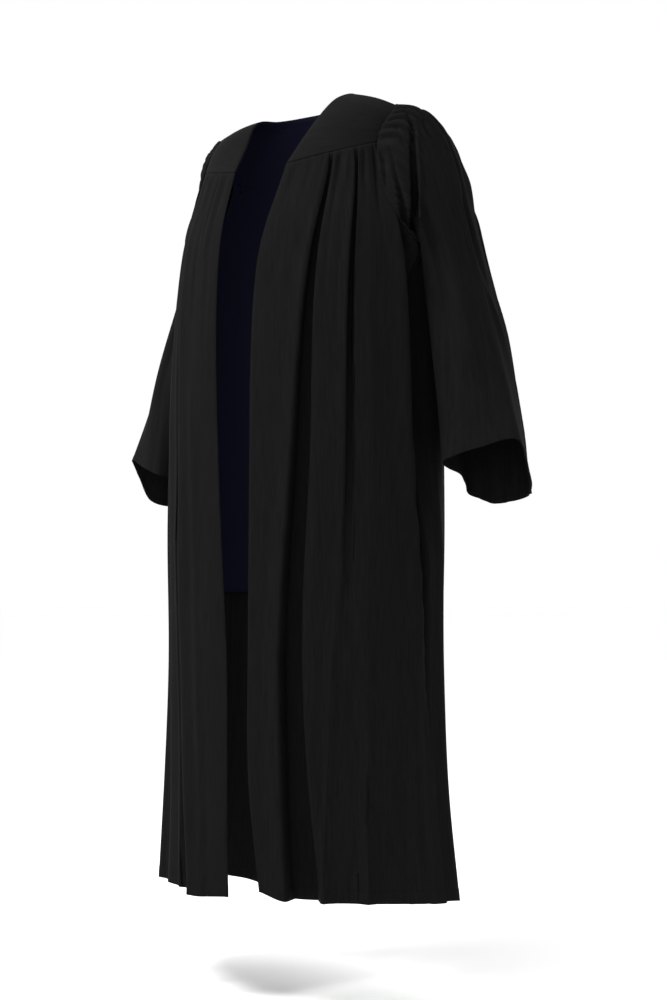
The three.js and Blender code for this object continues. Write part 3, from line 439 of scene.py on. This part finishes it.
def ridge(away, wide):
    return np.where(np.abs(away) < wide, 0.5 * (1 + np.cos(np.pi * np.clip(away / wide, -1, 1))), 0)


def pleat_form(kind, away, wide, depth, lap):
    """Height of a pleat and how far its lip is pushed over the valley, by the distance past its line."""
    lip, power, rise, lean, drop, floor = PLEATS[kind]
    lip, drop, floor = lip * depth, drop * wide, floor * wide
    before = lip * smooth_step(-rise * wide, 0, away) ** power
    height = np.where(away < 0, before, lip - depth * smooth_step(0, drop, away))
    height = np.where(away > floor, (lip - depth) * (1 - smooth_step(floor, wide, away)), height)
    height = np.where((away < -wide) | (away > wide), 0, height)
    pushed = lap * smooth_step(-lean * wide, 0, away) * (1 - smooth_step(0, drop, away))
    return height, pushed


def crease_form(away, wide):
    return np.clip(1 - np.abs(away) / wide, 0, 1) ** 1.6


def fold_form(kind, away, wide, depth, lap=0):
    """Height of a fold of any kind and how far it is pushed sideways, by the distance past its line."""
    if kind in PLEATS:
        return pleat_form(kind, away, wide, depth, lap)
    return depth * (ridge(away, wide) if kind == "roll" else crease_form(away, wide)), 0


def fall_heights(points, normals, falls):
    """Height of the folds that fall from a sleeve head, at points of its smooth form."""
    height = np.zeros(points.shape[:-1])
    for fall in falls:
        part = dict(zip(FALLS, fall))
        lean = math.radians(-FALL_LEAN if part["behind"] else FALL_LEAN)
        across = np.array([math.cos(lean), math.sin(lean), 0])
        outward = np.array([math.sin(abs(lean)), math.copysign(math.cos(lean), -lean), 0])
        keys = [-z for z in part["z"]]
        down = -points[..., 2]
        away = (points @ across - through(keys, part["place"], down)) * part["side"]
        wide = through(keys, part["wide"], down)
        depth = through(keys, part["depth"], down) * smooth_step(keys[0] - 12, keys[0], down)
        facing = smooth_step(0.05, 0.4, normals @ outward)
        height += fold_form(part["kind"], away, wide, depth)[0] * facing
    return height


def drift(u, v, seed):
    """Slow uneven swell of hanging cloth, between about -1 and 1."""
    rng = np.random.default_rng(seed)
    total = 0
    for _ in range(SWELL["waves"]):
        across = rng.uniform(*SWELL["across"])
        along = rng.uniform(*SWELL["along"])
        slant = rng.choice([-1, 1])
        total = total + np.sin(2 * np.pi * (u / across + slant * v / along) + rng.uniform(0, 6.3))
    return total / 4


def column_lines(panel, fine):
    """Tops and level angles of the columns of a panel, close together at its folds."""
    keyed = [panel[name] for name in ("edge", "corner", "far_corner", "side") if name in panel]
    lines = [(top, np.array(at, float)) for top, at in keyed]
    for kind, top, at, wide, _ in panel["folds"]:
        if SHOULDER_CORNER < top < BACK_CORNER or top > 360 - BACK_CORNER:
            continue
        start, z = top_place(top)
        for share in PLEAT_COLUMNS.get(kind, (0,)):
            first = top + share * wide[0] / float(degree_length(start, z))
            rest = np.array(at, float) + share * np.array(wide[1:]) / degree_length(np.array(at), LEVELS)
            lines.append((first, rest))
    lines.sort(key=lambda line: line[0])
    tops, ats = [], []
    for (top, at), (next_top, next_at) in zip(lines, lines[1:]):
        gap = max(abs(next_at[2] - at[2]) * DEGREE, (next_top - top) * SEAM_DEGREE)
        steps = max(2, math.ceil(gap / fine))
        for step in range(steps):
            tops.append(top + (next_top - top) * step / steps)
            ats.append(at + (next_at - at) * step / steps)
    return tops + [lines[-1][0]], ats + [lines[-1][1]]


def row_shares():
    """Places of a panel's rows as shares of its length, close together below the seam and at the hem."""
    lower = PANEL_LENGTH - HEM_ROWS
    middle = np.linspace(SEAM_ROWS[-1], lower[0], MIDDLE_ROWS + 2)[1:-1]
    return np.concatenate([SEAM_ROWS, middle, lower]) / PANEL_LENGTH


def fold_heights(panel, angle, z, per_degree, strength):
    """Height of a panel's long folds and how far their lips are pushed sideways."""
    height = np.zeros_like(angle)
    pushed = np.zeros_like(angle)
    for kind, top, at, wide, depth in panel["folds"]:
        keys, line = fold_line(top, at)
        away = (angle - through(keys, line, -z)) * per_degree
        depth_here = through(keys, depth, -z) * strength
        lap = np.clip(LAP["share"] * depth_here, 0, LAP["most"])
        rise, push = fold_form(kind, away, through(keys, wide, -z), depth_here, lap)
        height += rise
        pushed += push
    return height, pushed


def gather_heights(panel, tops, angle, z, below, per_degree):
    """Height of the short gathers below a panel's seam."""
    height = np.zeros_like(angle)
    for top, wide, depth, reach in panel["gathers"]:
        column = int(round(float(through(tops, np.arange(len(tops)), top))))
        away = (angle - np.interp(-z, -z[:, column], angle[:, column])) * per_degree
        spread = wide * (1 + below / reach)
        height += depth * ridge(away, spread) * (1 - smooth_step(0.25 * reach, reach, below))
    return height


def pressed_heights(panel, angle, z):
    """Height of the creases pressed across a panel."""
    height = np.zeros_like(angle)
    for level, start, end, depth in panel["pressed"]:
        within = smooth_step(start, start + 3, angle) * (1 - smooth_step(end - 3, end, angle))
        height += depth * crease_form(z - level - 2 * np.sin(angle), 3.5) * within
    return height


def panel_surface(panel, seed, strength, fine=6.0):
    """Points of a front or the back, with cloth coordinates and distance above the hem, rows by columns."""
    tops, ats = column_lines(panel, fine)
    ends = through(panel["hem"][0], panel["hem"][1], [at[-1] for at in ats])
    shares = row_shares()
    angle = np.empty((len(shares), len(tops)))
    z = np.empty_like(angle)
    below = np.empty_like(angle)
    for column, (top, at, end) in enumerate(zip(tops, ats, ends)):
        keys, line = fold_line(top, at)
        z[:, column] = (end + keys[0]) * shares - keys[0]
        angle[:, column] = through(keys, line, -z[:, column])
        below[:, column] = -keys[0] - z[:, column]
    per_degree = degree_length(angle, z)
    u = (angle - 90) * DEGREE
    height, pushed = fold_heights(panel, angle, z, per_degree, strength)
    height += gather_heights(panel, tops, angle, z, below, per_degree)
    height += pressed_heights(panel, angle, z)
    height += SWELL_BY["panel"] * drift(u, z, seed) * smooth_step(60, 300, below)
    height += SEAM_PUCKER["by"] * np.sin(u * SEAM_PUCKER["turns"]) * np.exp(-below / SEAM_PUCKER["reach"])
    from_side = np.minimum(np.abs(angle - 90), np.abs(270 - angle)) * per_degree
    at_side = smooth_step(0, 16, from_side)
    height *= smooth_step(0, 16, below) * at_side
    pushed *= smooth_step(0, 30, below) * at_side
    height -= side_tuck(angle, z)
    points = torso(angle + pushed / per_degree, z) + torso_normal(angle, z) * height[..., None]
    return points, np.stack([u, z], axis=-1), z - ends[None, :]


def yoke_outer(station):
    """The yoke's outer edge by station: armhole, back seam, armhole."""
    mirrored = np.minimum(station, 6 - station)
    turn = np.where(mirrored < 1, CORNER_TURN * (1 - mirrored), 360 - CORNER_TURN * (mirrored - 1))
    angle, z = armhole_place(np.where(mirrored < 2, turn, 0))
    back_angle = BACK_CORNER + (180 - BACK_CORNER) * (mirrored - 2)
    angle = np.where(mirrored >= 2, back_angle, angle)
    z = np.where(mirrored >= 2, back_seam_z(back_angle), z)
    points = torso(angle, z)
    right = station > 3
    points[..., 2] -= np.where(right, shoulder_drop(points[..., 2]), 0)
    points[..., 0] *= np.where(right, -1, 1)
    return points


def yoke_surface(station, across):
    """Points of the yoke, by station round the neck and share of the way out from the neck edge."""
    neck = through(NECKLINE["station"], NECKLINE["at"], station)
    side = np.where(station > 3, -1.0, 1.0)
    mirrored = np.minimum(station, 6 - station)

    def bulge(at):
        by = through(YOKE_BULGE["station"], YOKE_BULGE["by"], at)
        return np.stack([by[..., 0] * side, -by[..., 1], by[..., 2]], axis=-1)

    rise = (4 * across * (1 - across))[..., None]
    lean = across[..., None]
    points = neck * (1 - lean) + yoke_outer(station) * lean + bulge(mirrored) * rise
    edge = np.where(station > 3, RIGHT_FRONT["edge"][0], LEFT_FRONT["edge"][0])
    angle = edge + (SHOULDER_CORNER - edge) * across
    seam = torso(angle, front_seam_z(angle))
    seam[..., 0] *= side
    end = np.where(station > 3, 6.0, 0.0)
    end_neck = through(NECKLINE["station"], NECKLINE["at"], end)
    chord = end_neck * (1 - lean) + yoke_outer(end) * lean + bulge(np.zeros_like(mirrored)) * rise
    on_seam = (1 - smooth_step(0, 0.8, mirrored))[..., None]
    return points + (seam - chord) * on_seam


def grid_normals(points, closed=False):
    """Outward normals of a grid: rows run down, and columns towards the wearer's left and back."""
    if closed:
        around = np.roll(points, -1, axis=1) - np.roll(points, 1, axis=1)
    else:
        around = np.gradient(points, axis=1)
    return unit(np.cross(np.gradient(points, axis=0), around))


def run_lengths(points):
    """Distance down each column of points from the first row."""
    return np.cumsum(np.linalg.norm(np.diff(points, axis=0, prepend=points[:1]), axis=-1), axis=0)


def sleeve_form(right_side, turn, along):
    """Points of a sleeve without its folds, as on the wearer's left, by place along it and turn."""
    angle, z = armhole_place(turn)
    outward = torso_normal(angle, z)
    first = torso(angle, z)
    if right_side:
        over_yoke = (turn <= CORNER_TURN) | (turn >= 360 - CORNER_TURN)
        first[..., 2] -= np.where(over_yoke, shoulder_drop(first[..., 2]), 0)
    first = first + outward * SLEEVE_HEAD["gap"]
    controls = [first, first + outward * SLEEVE_HEAD["stand"]]
    around = np.radians(turn)
    sections = RIGHT_SLEEVE if right_side else LEFT_SLEEVE
    for row in sections:
        part = dict(zip(SECTIONS, row))
        lean = math.radians(part["lean"])
        out, back = part["half"] * np.cos(around), -np.sin(around)
        skew = part["skew"] * back * smooth_step(-0.6, 0, np.cos(around))
        x = part["x"] + out * math.cos(lean) + skew
        y, section_z = part["y"] + part["depth"] * back, part["z"] + out * math.sin(lean)
        controls.append(np.stack([x, y, section_z], axis=-1))
    controls.append(through(CUFF["turn"], CUFF["at"], turn))
    places = [0, SLEEVE_HEAD["along"]] + [row[0] for row in sections] + [1]
    return through(places, np.array(controls), along)


def sleeve_fold_heights(right_side, turn, along):
    """Height of a sleeve's long folds and of the gathers of its head."""
    height = np.zeros((len(along), len(turn)))
    for kind, place, wide, depth in SLEEVE_FOLDS:
        away = np.mod(turn - place + 540, 360) - 180
        height += through(FOLD_PLACES, depth, along) * fold_form(kind, away, wide, 1)[0]
    fullness = RIGHT_HEAD_SHARE if right_side else 1
    for place, wide, depth, reach in HEAD_GATHERS:
        away = np.mod(turn - place + 540, 360) - 180
        spread = wide * (1 + 1.1 * along / reach)
        height += depth * fullness * ridge(away, spread) * (1 - smooth_step(0.2 * reach, reach, along))
    return height


def sleeve_surface(right_side, strength, columns=240, rows=150):
    """Points of a sleeve as on the wearer's left, with cloth coordinates and distance above the cuff edge."""
    turn = np.linspace(0, 360, columns + 1)
    head, cuff = np.linspace(0, 0.25, 56)[:-1], np.linspace(0.987, 1, 7)
    along = np.concatenate([head, np.linspace(0.25, 0.985, rows - len(head) - len(cuff)), cuff])
    points = sleeve_form(right_side, turn, along)
    v = run_lengths(points)
    u = np.broadcast_to(run_lengths(points[rows // 2]), v.shape)
    here = along[:, None]
    height = sleeve_fold_heights(right_side, turn, here) * strength
    swell = SWELL_BY["sleeve"] * drift(u, v, SEEDS["sleeve_right" if right_side else "sleeve_left"])
    height += swell * smooth_step(0.15, 0.4, here) * np.sin(np.pi * turn / 360) ** 0.5
    normals = -grid_normals(points[:, :-1], closed=True)
    normals = np.concatenate([normals, normals[:, :1]], axis=1)
    height += fall_heights(points, normals, RIGHT_FALLS if right_side else LEFT_FALLS) * strength
    height *= smooth_step(0, 0.03, here)
    points = points + normals * height[..., None]
    points[:, -1] = points[:, 0]
    return points, np.stack([u, -v], axis=-1), v[-1] - v


def yoke_lining_row(lean, share):
    """A row of the lining inside the yoke, at a share of the way out from the neck edge."""
    end = LINING_YOKE_END
    edge = end["from"] + end["run"] * lean ** end["curve"]
    past = end["past"] * lean**8 * (1 - smooth_step(0, 0.12, share))
    station = edge + (6 - 2 * edge) * share - past + past[::-1]
    lap = np.full_like(station, lean)
    around = yoke_surface(station + 0.02, lap) - yoke_surface(station - 0.02, lap)
    down = yoke_surface(station, np.minimum(lap + 0.02, 1)) - yoke_surface(station, np.maximum(lap - 0.02, 0))
    inside = float(through(LINING_YOKE_INSIDE["across"], LINING_YOKE_INSIDE["by"], lean))
    inside += LINING_SEAM["by"] * math.exp(-(((lean - LINING_SEAM["across"]) / LINING_SEAM["wide"]) ** 2))
    return yoke_surface(station, lap) - unit(np.cross(down, around)) * inside


def lining_surface(columns=220):
    """Points of the lining: inside the yoke, then smooth inside the back."""
    share = np.linspace(0, 1, columns + 1)
    rows = [yoke_lining_row(lean, share) for lean in LINING_ROWS["yoke"]]
    top = back_seam_z(BACK_CORNER + (360 - 2 * BACK_CORNER) * share)
    for part in (np.arange(1, LINING_ROWS["back"] + 1) / LINING_ROWS["back"]) ** LINING_ROWS["spread"]:
        z = top + (LINING_HEM - top) * part
        edge = by_height(LINING_EDGE, "angle", z)
        angle = edge + (360 - 2 * edge) * share
        swell = SWELL_BY["lining"] * drift(angle * DEGREE, z, SEEDS["lining"])
        by = by_height(LINING_INSIDE, "by", z) + swell * smooth_step(0, 0.3, part) + side_tuck(angle, z)
        rows.append(torso(angle, z) - torso_normal(angle, z) * by[..., None])
    points = np.array(rows)
    u = np.broadcast_to((share - 0.5) * LINING_WIDTH, points.shape[:2])
    return points, np.stack([u, points[..., 2]], axis=-1)


def linear(code):
    """An sRGB hex colour as linear red, green, blue and alpha."""
    parts = [int(code[i : i + 2], 16) / 255 for i in (1, 3, 5)]
    return [c / 12.92 if c <= 0.04045 else ((c + 0.055) / 1.055) ** 2.4 for c in parts] + [1.0]


def add_node(tree, kind, settings=None, inputs=None, links=None):
    """A node with its settings, the values of its inputs and the sockets that lead into it."""
    node = tree.nodes.new(kind)
    for name, value in (settings or {}).items():
        setattr(node, name, value)
    for name, value in (inputs or {}).items():
        node.inputs[name].default_value = value
    for name, socket in (links or {}).items():
        tree.links.new(socket, node.inputs[name])
    return node


def woven_cloth(name, colour, lift, roughness, thread, bump):
    """A matt woven cloth on the piece's own cloth map, lighter by lift where the threads lie thicker."""
    material = bpy.data.materials.new(name)
    material.use_nodes = True
    tree = material.node_tree
    tree.nodes.clear()
    cloth_map = add_node(tree, "ShaderNodeUVMap", {"uv_map": "cloth"}).outputs["UV"]
    stretched = add_node(tree, "ShaderNodeMapping", {}, {"Scale": (1.0, GRAIN, 1.0)}, {"Vector": cloth_map})

    def noise(scale, detail):
        inputs = {"Scale": scale, "Detail": detail, "Roughness": 0.6}
        made = add_node(tree, "ShaderNodeTexNoise", {}, inputs, {"Vector": stretched.outputs["Vector"]})
        return made.outputs["Fac"]

    def threads(direction):
        settings = {"wave_type": "BANDS", "bands_direction": direction, "wave_profile": "SIN"}
        inputs = {"Scale": 1 / (thread * WAVE_LENGTH), "Distortion": 0.6, "Detail": 1.0, "Detail Scale": 2.0}
        return add_node(tree, "ShaderNodeTexWave", settings, inputs, {"Vector": cloth_map}).outputs["Fac"]

    def combined(operation, inputs, links):
        return add_node(tree, "ShaderNodeMath", {"operation": operation}, inputs, links).outputs["Value"]

    slubs = noise(SLUB_SCALE, 2.0)
    weave = combined("MULTIPLY", {}, {0: threads("X"), 1: threads("Y")})
    mixed = combined("MULTIPLY_ADD", {1: 0.55}, {0: slubs, 2: noise(PATCH_SCALE, 3.0)})
    raised = combined("MULTIPLY_ADD", {1: 0.5}, {0: slubs, 2: weave})
    ramp = add_node(tree, "ShaderNodeValToRGB", links={"Fac": mixed})
    base = linear(colour)
    for element, position, share in zip(ramp.color_ramp.elements, (0.45, 1.0), (1 - lift, 1 + lift)):
        element.position = position
        element.color = [c * share for c in base[:3]] + [1.0]
    relief = add_node(
        tree, "ShaderNodeBump", inputs={"Strength": bump, "Distance": 0.0004}, links={"Height": raised}
    )
    shader = add_node(
        tree, "ShaderNodeBsdfPrincipled",
        inputs={"Roughness": roughness, "IOR": 1.46, "Specular IOR Level": 0.045},
        links={"Base Color": ramp.outputs["Color"], "Normal": relief.outputs["Normal"]},
    )
    output = add_node(tree, "ShaderNodeOutputMaterial")
    tree.links.new(shader.outputs["BSDF"], output.inputs["Surface"])
    return material


def plain_material(name, colour, roughness):
    material = bpy.data.materials.new(name)
    material.use_nodes = True
    shader = material.node_tree.nodes["Principled BSDF"]
    shader.inputs["Base Color"].default_value = linear(colour)
    shader.inputs["Roughness"].default_value = roughness
    shader.inputs["Specular IOR Level"].default_value = 0.05
    return material


def add_object(name, data):
    made = bpy.data.objects.new(name, data)
    bpy.context.scene.collection.objects.link(made)
    return made


def mesh_object(name, bm, material):
    """An object with the mesh of bm, which is freed."""
    mesh = bpy.data.meshes.new(name)
    bm.to_mesh(mesh)
    bm.free()
    mesh.materials.append(material)
    return add_object(name, mesh)


def cloth_piece(name, points, cloth, thickness, material, closed=False, hem=None):
    """A cloth piece on a grid of points: one sheet, given its thickness by a Solidify modifier.

    hem is (distance above the edge, depth): cloth is doubled within that depth of the lower edge.
    """
    rows, columns = points.shape[:2]
    bm = bmesh.new()
    cloth_map = bm.loops.layers.uv.new("cloth")
    weights = bm.verts.layers.deform.verify()
    bmesh.ops.create_grid(bm, x_segments=columns - 1, y_segments=rows - 1, size=1)
    place = {}
    for vert in bm.verts:
        place[vert] = round((vert.co.y + 1) / 2 * (rows - 1)), round((vert.co.x + 1) / 2 * (columns - 1))
    for vert, (row, column) in place.items():
        vert.co = Vector(points[row, column] * MM)
        if hem is not None:
            vert[weights][0] = 1.0 if hem[0][row, column] < hem[1] else 0.0
    for face in bm.faces:
        face.smooth = True
        for loop in face.loops:
            row, column = place[loop.vert]
            loop[cloth_map].uv = cloth[row, column] * MM
    if closed:
        bmesh.ops.remove_doubles(bm, verts=bm.verts, dist=1e-6)
    bmesh.ops.recalc_face_normals(bm, faces=bm.faces)
    piece = mesh_object(name, bm, material)
    wall = piece.modifiers.new("thickness", "SOLIDIFY")
    wall.thickness = thickness
    wall.offset = 0
    if hem is not None:
        piece.vertex_groups.new(name="hem")
        wall.thickness = HEM_LAYERS * thickness
        wall.vertex_group = "hem"
        wall.thickness_vertex_group = 1 / HEM_LAYERS
    return piece


def stitch_run(bm, path, normals, lift, sizes):
    """Stitches of one seam, laid along a path on the cloth."""
    pitch, length = sizes.stitch_pitch / MM, sizes.stitch_length / MM
    radius = sizes.thread / 2 * STITCH_WIDE
    run = run_lengths(path)

    def along(values, at):
        return np.array([np.interp(at, run, values[:, k]) for k in range(3)])

    for start in np.arange(pitch / 2, run[-1] - pitch, pitch):
        ends = along(path, start), along(path, start + length)
        out = Vector(unit(along(normals, start + length / 2)))
        middle = Vector((ends[0] + ends[1]) / 2 * MM) + out * lift
        turn = Vector(ends[1] - ends[0]).to_track_quat("Z", "Y").to_matrix().to_4x4()
        turn.translation = middle
        made = bmesh.ops.create_cone(
            bm, cap_ends=True, segments=6, radius1=radius, radius2=radius, depth=length * MM, matrix=turn
        )
        for vert in made["verts"]:
            vert.co -= (vert.co - middle).dot(out) * out * STITCH_FLAT


def stitches(name, runs, sizes):
    """Makes the stitches along runs, each a path and its normals."""
    bm = bmesh.new()
    for path, normals in runs:
        stitch_run(bm, path, normals, sizes.cloth * 0.7, sizes)
    finish_piece(mesh_object(name, bm, sewing_thread()), "gown_cloth")


def finish_piece(piece, slot, *nodes):
    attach(piece, "root")
    if nodes:
        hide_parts(*nodes)


def shared_material(name, make, *look):
    return bpy.data.materials.get(name) or make(name, *look)


def gown_cloth():
    """Plain-weave polyester: fine, matt and soft, with a faint grain down the warp."""
    colour = bpy.context.scene.gown_colours.cloth
    return shared_material("woven polyester, black", woven_cloth, colour, 0.32, 0.88, 0.0016, 0.4)


def lining_cloth():
    """Smooth acetate lining, dyed navy: closer and flatter than the gown cloth."""
    colour = bpy.context.scene.gown_colours.lining
    return shared_material("woven acetate lining, navy", woven_cloth, colour, 0.1, 0.85, 0.0012, 0.2)


def sewing_thread():
    """Spun polyester thread, dyed to the cloth."""
    colour = bpy.context.scene.gown_colours.thread
    return shared_material("spun polyester thread, black", plain_material, colour, 0.9)


def length_property(name, description, default):
    words = {"name": name, "description": description}
    return bpy.props.FloatProperty(default=default, unit="LENGTH", precision=4, **words)


class GownSizes(bpy.types.PropertyGroup):
    cloth: length_property("Cloth", "Thickness of the gown cloth", 0.0012)
    lining: length_property("Lining", "Thickness of the lining", 0.0008)
    hem: length_property("Hem", "Depth of the turned hem", 0.019)
    cuff_hem: length_property("Cuff hem", "Depth of the turned edge of a cuff", 0.0095)
    folds: bpy.props.FloatProperty(
        name="Folds", description="Depth of the folds, as a share of the usual", default=1.0, subtype="FACTOR"
    )
    stitch_pitch: length_property("Stitch pitch", "From one stitch to the next", 0.0042)
    stitch_length: length_property("Stitch length", "Length of a stitch", 0.003)
    thread: length_property("Thread", "Thickness of the thread", 0.0005)
    floor_drop: length_property("Floor", "Drop from the neck points to the floor", 1.475)


def colour_property(name, default):
    words = {"name": name, "description": f"Hex colour of the {name.lower()}"}
    return bpy.props.StringProperty(default=default, **words)


class GownColours(bpy.types.PropertyGroup):
    cloth: colour_property("Cloth", "#0c0c0c")
    lining: colour_property("Lining", "#0c0c1a")
    thread: colour_property("Thread", "#0a0a0a")
    floor: colour_property("Floor", "#ffffff")


def hem_run(points, above, depth, right_side=False):
    """Path and normals of the stitching at a height above a lower edge."""
    normals = grid_normals(points) * (-1 if right_side else 1)
    row = int(np.argmin(np.abs(above[:, above.shape[1] // 2] - depth)))
    return points[row], normals[row]


def front_piece(sizes, side):
    """Makes a front and gives the run of its hem stitches."""
    right_side = side == "right"
    panel = RIGHT_FRONT if right_side else LEFT_FRONT
    points, cloth, above = panel_surface(panel, SEEDS[f"front_{side}"], sizes.folds)
    if right_side:
        points = points * MIRROR
    depth = sizes.hem / MM
    piece = cloth_piece(f"front_{side}_cloth", points, cloth, sizes.cloth, gown_cloth(), hem=(above, depth))
    finish_piece(piece, "gown_cloth", f"front_{side}")
    return hem_run(points, above, depth, right_side)


def sleeve_piece(sizes, side):
    """Makes a sleeve and gives the run of its cuff stitches."""
    right_side = side == "right"
    points, cloth, above = sleeve_surface(right_side, sizes.folds)
    if right_side:
        points = points * MIRROR
    depth = sizes.cuff_hem / MM
    piece = cloth_piece(
        f"sleeve_{side}_cloth", points, cloth, sizes.cloth, gown_cloth(), closed=True, hem=(above, depth)
    )
    finish_piece(piece, "gown_cloth", f"sleeve_{side}")
    return hem_run(points, above, depth, right_side)


class GOWN_OT_yoke(bpy.types.Operator):
    """Make the yoke over both shoulders"""

    bl_idname = "gown.yoke"
    bl_label = "Yoke"

    def execute(self, context):
        sizes = context.scene.gown_sizes
        outward = np.append(np.linspace(0, 1, YOKE_GRID["rows"]), YOKE_GRID["past"])
        station, across = np.meshgrid(np.linspace(0, 6, YOKE_GRID["columns"]), outward)
        points = yoke_surface(station, across)
        pucker = YOKE_PUCKER["by"] * np.sin(station * YOKE_PUCKER["turns"])
        pucker *= np.exp(-np.abs(1 - across) * YOKE_PUCKER["fade"])
        pucker *= smooth_step(0, 0.1, np.minimum(station, 6 - station))
        swell = SWELL_BY["yoke"] * drift(station * YOKE_STATION, across * 400, SEEDS["yoke"])
        swell *= np.sin(np.pi * np.minimum(across, 1))
        points = points + grid_normals(points) * (pucker + swell)[..., None]
        cloth = np.stack([station, across], axis=-1) * YOKE_STATION
        piece = cloth_piece("yoke_cloth", points, cloth, sizes.cloth * YOKE_LAYERS, gown_cloth())
        finish_piece(piece, "gown_cloth", "yoke")
        return {"FINISHED"}


class GOWN_OT_fronts(bpy.types.Operator):
    """Make both fronts, gathered and pleated into the yoke, with their hems"""

    bl_idname = "gown.fronts"
    bl_label = "Fronts"

    def execute(self, context):
        sizes = context.scene.gown_sizes
        stitches("front_hem_stitches", [front_piece(sizes, side) for side in ("left", "right")], sizes)
        return {"FINISHED"}


class GOWN_OT_back(bpy.types.Operator):
    """Make the full back with its hem"""

    bl_idname = "gown.back"
    bl_label = "Back"

    def execute(self, context):
        sizes = context.scene.gown_sizes
        points, cloth, above = panel_surface(BACK, SEEDS["back"], sizes.folds, fine=7.5)
        depth = sizes.hem / MM
        piece = cloth_piece("back_cloth", points, cloth, sizes.cloth, gown_cloth(), hem=(above, depth))
        finish_piece(piece, "gown_cloth", "back")
        stitches("back_hem_stitches", [hem_run(points, above, depth)], sizes)
        return {"FINISHED"}


class GOWN_OT_sleeves(bpy.types.Operator):
    """Make both bell sleeves, gathered at the head, with open cuffs"""

    bl_idname = "gown.sleeves"
    bl_label = "Sleeves"

    def execute(self, context):
        sizes = context.scene.gown_sizes
        stitches("cuff_stitches", [sleeve_piece(sizes, side) for side in ("left", "right")], sizes)
        return {"FINISHED"}


class GOWN_OT_lining(bpy.types.Operator):
    """Make the navy lining of the yoke and the upper back"""

    bl_idname = "gown.lining"
    bl_label = "Lining"

    def execute(self, context):
        sizes = context.scene.gown_sizes
        points, cloth = lining_surface()
        piece = cloth_piece("lining_cloth", points, cloth, sizes.lining, lining_cloth())
        finish_piece(piece, "lining_cloth", "back_lining")
        return {"FINISHED"}


class GOWN_OT_stage(bpy.types.Operator):
    """Make the floor, the lights and the camera"""

    bl_idname = "gown.stage"
    bl_label = "Stage"

    def execute(self, context):
        scene = context.scene
        scene.view_settings.view_transform = "Standard"
        bm = bmesh.new()
        bmesh.ops.create_circle(bm, cap_ends=True, segments=128, radius=FLOOR_RADIUS)
        bmesh.ops.translate(bm, verts=bm.verts, vec=(0, 0, -scene.gown_sizes.floor_drop))
        paint = plain_material("painted studio floor", scene.gown_colours.floor, 0.9)
        mesh_object("studio_floor", bm, paint)
        world = bpy.data.worlds.new("studio")
        scene.world = world
        world.use_nodes = True
        background = world.node_tree.nodes["Background"]
        background.inputs["Color"].default_value = (1, 1, 1, 1)
        background.inputs["Strength"].default_value = 1.0
        for name, at, to, size, power in LIGHTS:
            light = bpy.data.lights.new(name, "AREA")
            light.shape = "RECTANGLE"
            light.size, light.size_y = size
            light.energy = power
            lamp = add_object(name, light)
            lamp.location = at
            lamp.rotation_euler = (Vector(to) - Vector(at)).to_track_quat("-Z", "Y").to_euler()
            lamp.visible_camera = False
        camera = bpy.data.cameras.new("camera")
        camera.lens = CAMERA["lens"]
        camera.sensor_fit = "AUTO"
        camera.sensor_width = CAMERA["sensor"]
        camera.clip_end = CAMERA["far"]
        scene.camera = add_object("camera", camera)
        scene.camera.location = CAMERA["at"]
        scene.camera.rotation_euler = (math.radians(90 + CAMERA["tilt"]), 0, math.radians(CAMERA["turn"]))
        return {"FINISHED"}


class GOWN_PT_panel(bpy.types.Panel):
    """Sizes of the gown and a button for each of its pieces"""

    bl_idname = "GOWN_PT_panel"
    bl_label = "Choir Gown"
    bl_space_type = "VIEW_3D"
    bl_region_type = "UI"
    bl_category = "Gown"

    def draw(self, context):
        scene = context.scene
        for group in (scene.gown_sizes, scene.gown_colours):
            for name in type(group).__annotations__:
                self.layout.prop(group, name)
        for operator in OPERATORS:
            self.layout.operator(operator.bl_idname)


OPERATORS = (GOWN_OT_stage, GOWN_OT_yoke, GOWN_OT_fronts, GOWN_OT_back, GOWN_OT_sleeves, GOWN_OT_lining)
CLASSES = (GownSizes, GownColours, *OPERATORS, GOWN_PT_panel)


def register():
    for each in CLASSES:
        bpy.utils.register_class(each)
    bpy.types.Scene.gown_sizes = bpy.props.PointerProperty(type=GownSizes)
    bpy.types.Scene.gown_colours = bpy.props.PointerProperty(type=GownColours)


def unregister():
    del bpy.types.Scene.gown_colours
    del bpy.types.Scene.gown_sizes
    for each in reversed(CLASSES):
        bpy.utils.unregister_class(each)


def main():
    register()
    gown = bpy.ops.gown
    for step in (gown.stage, gown.yoke, gown.fronts, gown.back, gown.sleeves, gown.lining):
        step()


if __name__ == "__main__":
    main()
